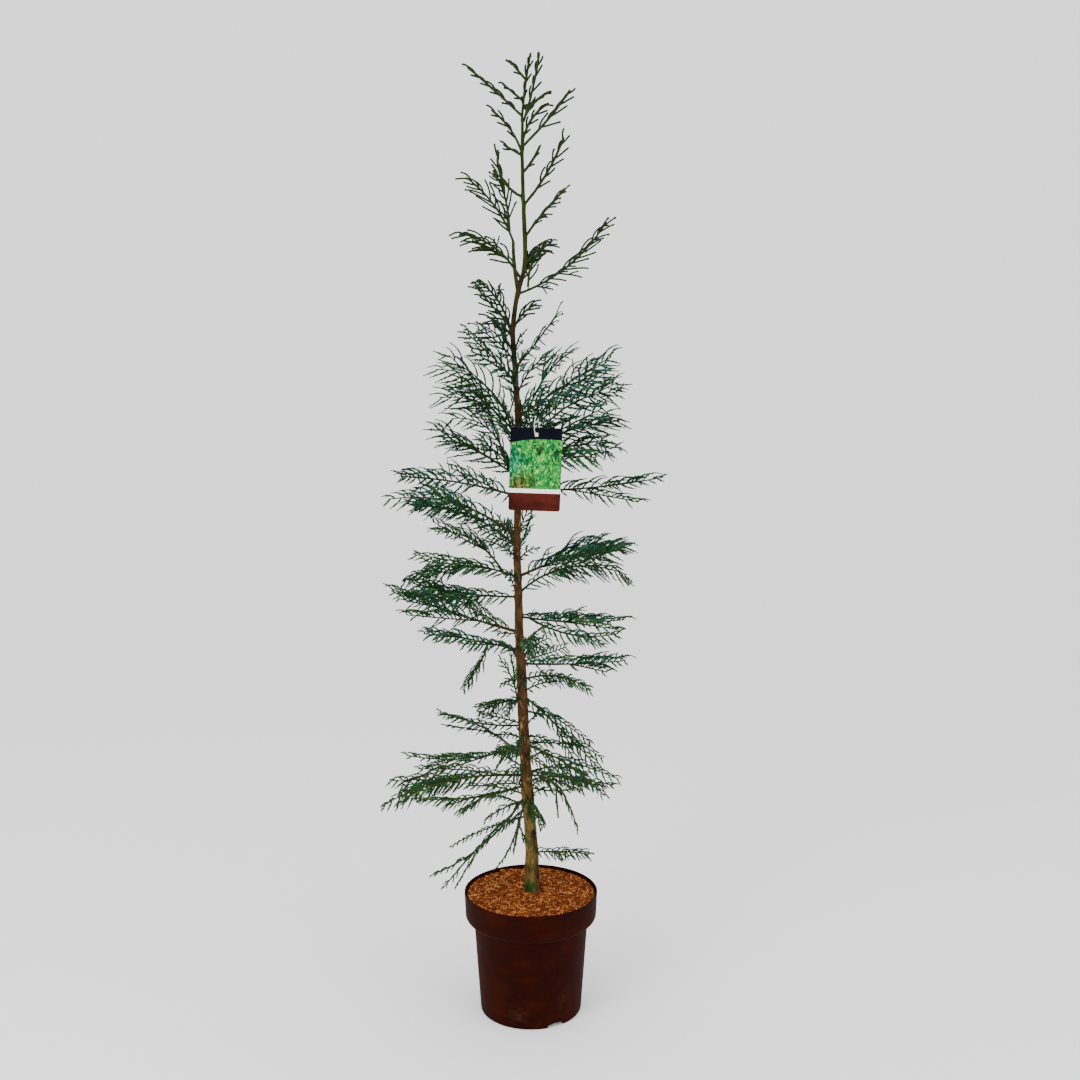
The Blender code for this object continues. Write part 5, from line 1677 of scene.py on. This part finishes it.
def bed_height(x, y):
    """The uneven top of the mix, a little lower towards the rim."""
    share = math.hypot(x, y) / POT_RIM_RADIUS
    bumps = noise.noise(Vector((x * 45, y * 45, 0.0))) * BED_BUMPS
    return MIX_LEVEL + 0.001 - 0.001 * share * share + bumps


def bed_radius(height):
    """Inner radius of the pot at a height, less a hair."""
    collar_foot = POT_HEIGHT - COLLAR_HEIGHT
    if height > collar_foot + COLLAR_CHAMFER:
        return POT_RIM_RADIUS - COLLAR_DRAFT - POT_WALL - COLLAR_GAP
    share = height / collar_foot
    return POT_FOOT_RADIUS + (POT_WAIST_RADIUS - POT_FOOT_RADIUS) * share - POT_WALL - WALL_GAP


def build_bed():
    """Rings up the inside of the pot, then rings inward over the top."""
    top_radius = bed_radius(MIX_LEVEL)
    levels = [*BED_LEVELS, POT_HEIGHT - COLLAR_HEIGHT + COLLAR_CHAMFER + BED_COLLAR_STEP]
    points = [(0.0, 0.0, levels[0])]
    for level in levels:
        points += ring(bed_radius(level), level, BED_SIDES)
    for inward in range(BED_RINGS):
        radius = top_radius * (1.0 - inward / BED_RINGS)
        points += [(x, y, bed_height(x, y)) for x, y, _ in ring(radius, 0.0, BED_SIDES)]
    points.append((0.0, 0.0, bed_height(0.0, 0.0)))
    triangles = [(face[0], *face[k:k + 2]) for face in ring_faces(len(levels) + BED_RINGS, BED_SIDES)
                 for k in range(1, len(face) - 1)]
    return np.array(points), np.array(triangles)


mix = Finish("potting_mix", rgb(96, 46, 20), 0.95, 0.05)
grains = mix.noise(260.0, 4.0)
mix.colour(mix.ramp(grains, (0.3, rgb(40, 18, 8)), (0.5, rgb(104, 52, 22)), (0.7, rgb(158, 92, 46))))
mix.bump(grains, 0.8, 0.002)
bed_points, bed_faces = build_bed()
piece("mix_bed", triangle_mesh("mix_bed", bed_points, bed_faces, [mix]), ["potting_mix"])

# %% [markdown]
# ## Bark chips
# The mix is topped with shredded bark: thousands of slivers, 7 to 21 mm long,
# that lie every way. A bed with a picture of chips would give itself away at the
# rim. Each chip is a small body of three rings, widest in the middle, with its
# own tilt, laid on the bed. Chips are dealt four colours, from wet dark brown to
# dry tan.

# %% Bark chips
CHIP_COUNT = 4800
CHIP_LENGTH = (0.007, 0.021)
CHIP_WIDTH = (0.0016, 0.0038)
CHIP_THICKNESS = (0.0006, 0.0014)
CHIP_LIFT = (0.0006, 0.0042)    # above the bed
CHIP_PITCH, CHIP_ROLL = 0.22, 0.45      # usual tilts in radians
CHIP_TAPER = ((-0.5, 0.35), (0.05, 1.0), (0.5, 0.25))   # share of length, share of width
CHIP_SHARES = (0.30, 0.34, 0.22, 0.14)
CHIP_COLOURS = (("chip_rust", rgb(112, 54, 20), rgb(148, 78, 32)),
                ("chip_brown", rgb(76, 33, 12), rgb(114, 56, 23)),
                ("chip_tan", rgb(162, 94, 44), rgb(206, 138, 78)),
                ("chip_dark", rgb(42, 16, 7), rgb(72, 33, 14)))


def build_chips():
    """Tapered slivers of three rings with four corners each."""
    luck = np.random.default_rng(12)
    radius = (bed_radius(MIX_LEVEL) - 0.004) * np.sqrt(luck.random(CHIP_COUNT))
    turn = luck.uniform(0.0, math.tau, CHIP_COUNT)
    x, y = radius * np.cos(turn), radius * np.sin(turn)
    trunk, trunk_radius = trunk_at(MIX_LEVEL)
    away = np.hypot(x - trunk[0], y - trunk[1]) > trunk_radius + 0.012
    x, y = x[away], y[away]
    count = len(x)
    length = luck.uniform(*CHIP_LENGTH, count)
    width = luck.uniform(*CHIP_WIDTH, count)
    thick = luck.uniform(*CHIP_THICKNESS, count)
    yaw = luck.uniform(0.0, math.tau, count)
    pitch = luck.normal(0.0, CHIP_PITCH, count)
    roll = luck.normal(0.0, CHIP_ROLL, count)
    along = np.stack((np.cos(yaw) * np.cos(pitch), np.sin(yaw) * np.cos(pitch), np.sin(pitch)), 1)
    level = np.stack((-np.sin(yaw), np.cos(yaw), np.zeros(count)), 1)
    lifted = np.cross(along, level)
    side = level * np.cos(roll)[:, None] + lifted * np.sin(roll)[:, None]
    above = np.cross(along, side)
    z = np.array([bed_height(a, b) for a, b in zip(x, y)]) + luck.uniform(*CHIP_LIFT, count)
    centre = np.stack((x, y, z), 1)
    room = bed_radius(MIX_LEVEL) - 0.001 - np.hypot(x, y)
    length = np.minimum(length, np.maximum(room * 2, 0.005))
    corners = []
    for share, wide in CHIP_TAPER:
        bow = above * (thick * (0.6 - 2.4 * share * share))[:, None]
        middle = centre + along * (length * share)[:, None] + bow
        half, deep = side * (width * wide / 2)[:, None], above * (thick / 2)[:, None]
        corners += [middle - half - deep, middle + half - deep,
                    middle + half + deep, middle - half + deep]
    points = np.stack(corners, axis=1).reshape(-1, 3)
    colours = luck.choice(len(CHIP_COLOURS), count, p=CHIP_SHARES)
    return points, tube_triangles(count, len(CHIP_TAPER), 4), colours


def chip_finish(name, dark, light):
    finish = Finish(name, dark, 0.90, 0.08)
    finish.colour(finish.ramp(finish.noise(500.0, 3.0), (0.3, dark), (0.7, light)))
    finish.bump(finish.noise(900.0), 0.3, 0.0006)
    return finish


chip_finishes = [chip_finish(*row) for row in CHIP_COLOURS]
chip_points, chip_faces, chip_tints = build_chips()
chip_which = np.repeat(chip_tints, len(chip_faces) // len(chip_tints))
piece("bark_chips", triangle_mesh("bark_chips", chip_points, chip_faces, chip_finishes, chip_which))
print(len(chip_tints), "chips")

# %% [markdown]
# ## Hanging label
# The label is a printed plastic card, 1.2 mm thick with rounded corners. Its
# print is four fields: a dark blue head, a leafy field, a white strip and a brown
# foot. An image would carry them, but it blurs close up. Each field is a strip of
# faces with its own finish, so the print has crisp edges from any distance.
# Nothing is written on the card.

# %% Label card
LABEL_WIDTH = 0.132
LABEL_HEIGHT = 0.213
LABEL_THICKNESS = 0.0012
LABEL_CORNER = 0.006
LABEL_FIELDS = (0.0, 0.215, 0.265, 0.835, 1.0)      # shares of the card's height
HEAD_ARCH, HEAD_ARCH_TOP = 0.006, 0.35              # the dark head ends in a low arch
HALF_COLUMNS = 14
CARD_EDGE = 4                   # number of the edge's finish, after the four fields
label_middle = (label_low + label_high) / 2


def label_card_mesh():
    """Columns of faces from edge to edge, split where the print changes."""
    half_width, half_height = LABEL_WIDTH / 2, LABEL_HEIGHT / 2
    columns = [half_width * math.sin(math.pi / 2 * k / HALF_COLUMNS)
               for k in range(-HALF_COLUMNS, HALF_COLUMNS + 1)]
    grid = []
    for x in columns:
        inset = max(abs(x) - (half_width - LABEL_CORNER), 0.0)
        trim = LABEL_CORNER - math.sqrt(max(LABEL_CORNER ** 2 - inset ** 2, 0.0))
        levels = [-half_height + share * LABEL_HEIGHT for share in LABEL_FIELDS]
        levels[0] += trim
        levels[3] += HEAD_ARCH * (1.0 - (x / half_width - HEAD_ARCH_TOP) ** 2)
        levels[4] -= trim
        grid.append([(x, z) for z in levels])
    rows = len(LABEL_FIELDS)
    points = [(x, y, z) for y in (-LABEL_THICKNESS / 2, LABEL_THICKNESS / 2)
              for column in grid for x, z in column]
    back = len(columns) * rows
    faces, which = [], []
    for c in range(len(columns) - 1):
        for r in range(rows - 1):
            a, b = c * rows + r, (c + 1) * rows + r
            faces += [(a, b, b + 1, a + 1), (back + a, back + a + 1, back + b + 1, back + b)]
            which += [r, CARD_EDGE]
        low, high = c * rows, c * rows + rows - 1
        faces += [(low, back + low, back + low + rows, low + rows),
                  (high, high + rows, back + high + rows, back + high)]
        which += [CARD_EDGE, CARD_EDGE]
    last = (len(columns) - 1) * rows
    for r in range(rows - 1):
        faces += [(r, r + 1, back + r + 1, back + r),
                  (last + r, back + last + r, back + last + r + 1, last + r + 1)]
        which += [CARD_EDGE, CARD_EDGE]
    mesh = bpy.data.meshes.new("printed_label")
    mesh.from_pydata(points, [], faces)
    mesh.polygons.foreach_set("material_index", which)
    return face_outward(mesh)


label = piece("printed_label", label_card_mesh(), ["label_card"])

# %% [markdown]
# ## Print on the label
# Four inks are nearly plain, with a faint cloud in them. The leafy field shows
# foliage out of focus: light blades over a dark green ground. Drawing leaves
# would be a picture of its own, so warped noise stands for them. Towards the left
# the ground turns teal, and at the lower left corner bronze.

# %% Print finishes
TEAL_SPOT, TEAL_SIZE = (0.0, 0.0, 0.035), 0.05          # from the card's lower left
BRONZE_SPOT, BRONZE_SIZE = (0.03, 0.0, -0.02), 0.045


def print_finish(name, dark, light, scale, stretch=None):
    finish = Finish(name, dark, 0.50, 0.06)
    finish.colour(finish.ramp(finish.noise(scale, 3.0, stretch), (0.35, dark), (0.65, light)))
    finish.bump(finish.noise(40.0), 0.05, 0.001)
    return finish


leafy = Finish("print_leafy", rgb(60, 150, 70), 0.50, 0.06)
blades = leafy.noise(105.0, 5.0, (1.0, 1.0, 0.6), 1.6)
shades = leafy.noise(38.0, 3.0, None, 0.8)
blade_tone = leafy.ramp(blades, (0.36, rgb(2, 50, 24)), (0.46, rgb(14, 112, 44)),
                        (0.56, rgb(48, 164, 58)), (0.70, rgb(190, 232, 124)))
shade_tone = leafy.ramp(shades, (0.36, rgb(18, 30, 12)), (0.5, rgb(6, 96, 62)),
                        (0.66, rgb(110, 110, 34)))
leaf_tone = leafy.blend(leafy.spread(shades, 0.30, 0.55, 0.85, 0.15), blade_tone, shade_tone)
teal = leafy.ramp(blades, (0.4, rgb(2, 60, 56)), (0.6, rgb(20, 130, 96)))
bronze = leafy.ramp(blades, (0.4, rgb(30, 24, 10)), (0.6, rgb(100, 92, 38)))
corner = Vector(label_middle) - Vector((LABEL_WIDTH * 0.5, 0.0, LABEL_HEIGHT * 0.1))
for spot, size, hue in ((TEAL_SPOT, TEAL_SIZE, teal), (BRONZE_SPOT, BRONZE_SIZE, bronze)):
    leaf_tone = leafy.blend(leafy.near(corner + Vector(spot), size), leaf_tone, hue)
leafy.colour(leaf_tone)
leafy.bump(shades, 0.05, 0.001)
label_finishes = [print_finish("print_brown", rgb(34, 5, 3), rgb(78, 26, 18), 12.0, (1.0, 1.0, 1.8)),
                  print_finish("print_white", rgb(232, 232, 228), rgb(244, 244, 240), 60.0),
                  leafy,
                  print_finish("print_navy", rgb(0, 1, 8), rgb(1, 5, 18), 30.0),
                  print_finish("card_edge", rgb(226, 226, 220), rgb(240, 240, 236), 50.0)]
for finish in label_finishes:
    label.data.materials.append(finish.material)
print("label finishes:", ", ".join(finish.material.name for finish in label_finishes))

# %% [markdown]
# ## Slot in the card
# The strap goes through a small slot near the top edge. It could be one more
# field of the grid with no faces, but its walls would have to be built by hand. A
# block and a Boolean give the hole and its walls at once. The card is made at the
# origin, where its numbers are simple, and is turned and moved into place last.

# %% Slot and place
SLOT_DROP = 0.020               # from the card's top edge
SLOT_SIZE = (0.010, 0.02, 0.0070)       # wide, right through, tall
LABEL_TURN = 1.9                # degrees in its own plane


def block_mesh(name, size, place, edge=0.0):
    """A block with its edges rounded, if an edge is given."""
    block = bmesh.new()
    bmesh.ops.create_cube(block, size=1.0)
    bmesh.ops.scale(block, vec=size, verts=block.verts)
    if edge:
        bmesh.ops.bevel(block, geom=block.edges[:], offset=edge, segments=3, affect="EDGES")
    bmesh.ops.translate(block, vec=place, verts=block.verts)
    mesh = bpy.data.meshes.new(name)
    block.to_mesh(mesh)
    block.free()
    return mesh


slot_mesh = block_mesh("slot", SLOT_SIZE, (0.0, 0.0, LABEL_HEIGHT / 2 - SLOT_DROP))
slot_cutter = bpy.data.objects.new("slot", slot_mesh)
bpy.context.scene.collection.objects.link(slot_cutter)
carve(label, [slot_cutter])
turn = math.radians(LABEL_TURN)
label.data.transform(Matrix.Translation(Vector(label_middle)) @ Matrix.Rotation(turn, 4, "Y"))
print("label centre", label_middle.round(3))

# %% [markdown]
# ## Label strap
# A thin milky plastic loop goes through the card's slot and over its stem. A
# round wire would look like string. The real one is a flat band, so eight corners
# of a band with eased edges are carried round an upright ellipse, and it thickens
# at one place where its ends overlap.

# %% Label strap
STRAP_AZIMUTH = 40
STRAP_HALF_WIDTH = 0.0075
STRAP_BAND = 0.0024
STRAP_THICKNESS = 0.0010
STRAP_STEPS = 64
OVERLAP_TURN, OVERLAP_SPAN, OVERLAP_GROWTH = 0.9, 0.14, 1.1     # radians, radians, share
BAND_CORNERS = ((-1.0, -0.6), (-0.7, -1.0), (0.7, -1.0), (1.0, -0.6),
                (1.0, 0.6), (0.7, 1.0), (-0.7, 1.0), (-1.0, 0.6))
strap_low, strap_high = (np.array(corner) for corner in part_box("label_strap"))
strap_low[2] = label_high[2] - SLOT_DROP - 0.004      # down into the slot
strap_middle = (strap_low + strap_high) / 2
strap_half_height = (strap_high[2] - strap_low[2] - STRAP_THICKNESS) / 2


def build_strap():
    """A closed flat band round an upright ellipse."""
    wide = heading(STRAP_AZIMUTH)
    across = np.cross(wide, UP)
    points = []
    for k in range(STRAP_STEPS):
        turn = math.tau * k / STRAP_STEPS
        c, s = math.cos(turn), math.sin(turn)
        out = wide * (STRAP_HALF_WIDTH * c) + UP * (strap_half_height * s)
        normal = unit(wide * (c / STRAP_HALF_WIDTH) + UP * (s / strap_half_height))
        overlap = 1.0 + OVERLAP_GROWTH * math.exp(-((turn - OVERLAP_TURN) / OVERLAP_SPAN) ** 2)
        points += [strap_middle + out + across * (STRAP_BAND / 2 * a * (1 + 0.4 * (overlap - 1)))
                   + normal * (STRAP_THICKNESS / 2 * b * overlap) for a, b in BAND_CORNERS]
    sides = len(BAND_CORNERS)
    faces = []
    for k in range(STRAP_STEPS):
        low, high = k * sides, (k + 1) % STRAP_STEPS * sides
        for i in range(sides):
            n = (i + 1) % sides
            faces += [(low + i, high + n, low + n), (low + i, high + i, high + n)]
    return np.array(points), np.array(faces)


strap_plastic = Finish("strap_plastic", rgb(214, 218, 210), 0.3, 0.5)
clouds = strap_plastic.noise(200.0)
strap_plastic.colour(strap_plastic.ramp(clouds, (0.3, rgb(198, 204, 198)), (0.7, rgb(226, 230, 222))))
strap_points, strap_faces = build_strap()
strap_mesh = triangle_mesh("strap_loop", strap_points, strap_faces, [strap_plastic], smooth=True)
piece("strap_loop", strap_mesh, ["label_strap"])
print("strap", strap_low.round(3), strap_high.round(3))

# %% [markdown]
# ## Strap lock
# The strap's ends meet in a small cream lock in front of the slot. It is a plain
# moulded block. The same helper that made the slot's cutter makes it, this time
# with rounded edges, because light on an eased edge is what shows its size.

# %% Strap lock
LOCK_SIZE = (0.0085, 0.0026, 0.0100)
LOCK_EDGE = 0.0009
LOCK_GAP = 0.0003               # a hair in front of the card

lock_plastic = Finish("lock_plastic", rgb(206, 200, 160), 0.4, 0.3)
lock_grain = lock_plastic.noise(300.0)
lock_plastic.colour(lock_plastic.ramp(lock_grain, (0.3, rgb(176, 170, 128)), (0.7, rgb(218, 214, 176))))
lock_plastic.bump(lock_grain, 0.05, 0.0003)
lock_front = label_middle[1] - LABEL_THICKNESS / 2 - LOCK_SIZE[1] / 2 - LOCK_GAP
lock_place = (strap_middle[0], lock_front, label_high[2] - SLOT_DROP)
lock = piece("strap_lock", block_mesh("strap_lock", LOCK_SIZE, lock_place, LOCK_EDGE))
lock.data.materials.append(lock_plastic.material)
smooth_but_sharp(lock.data, 40.0)
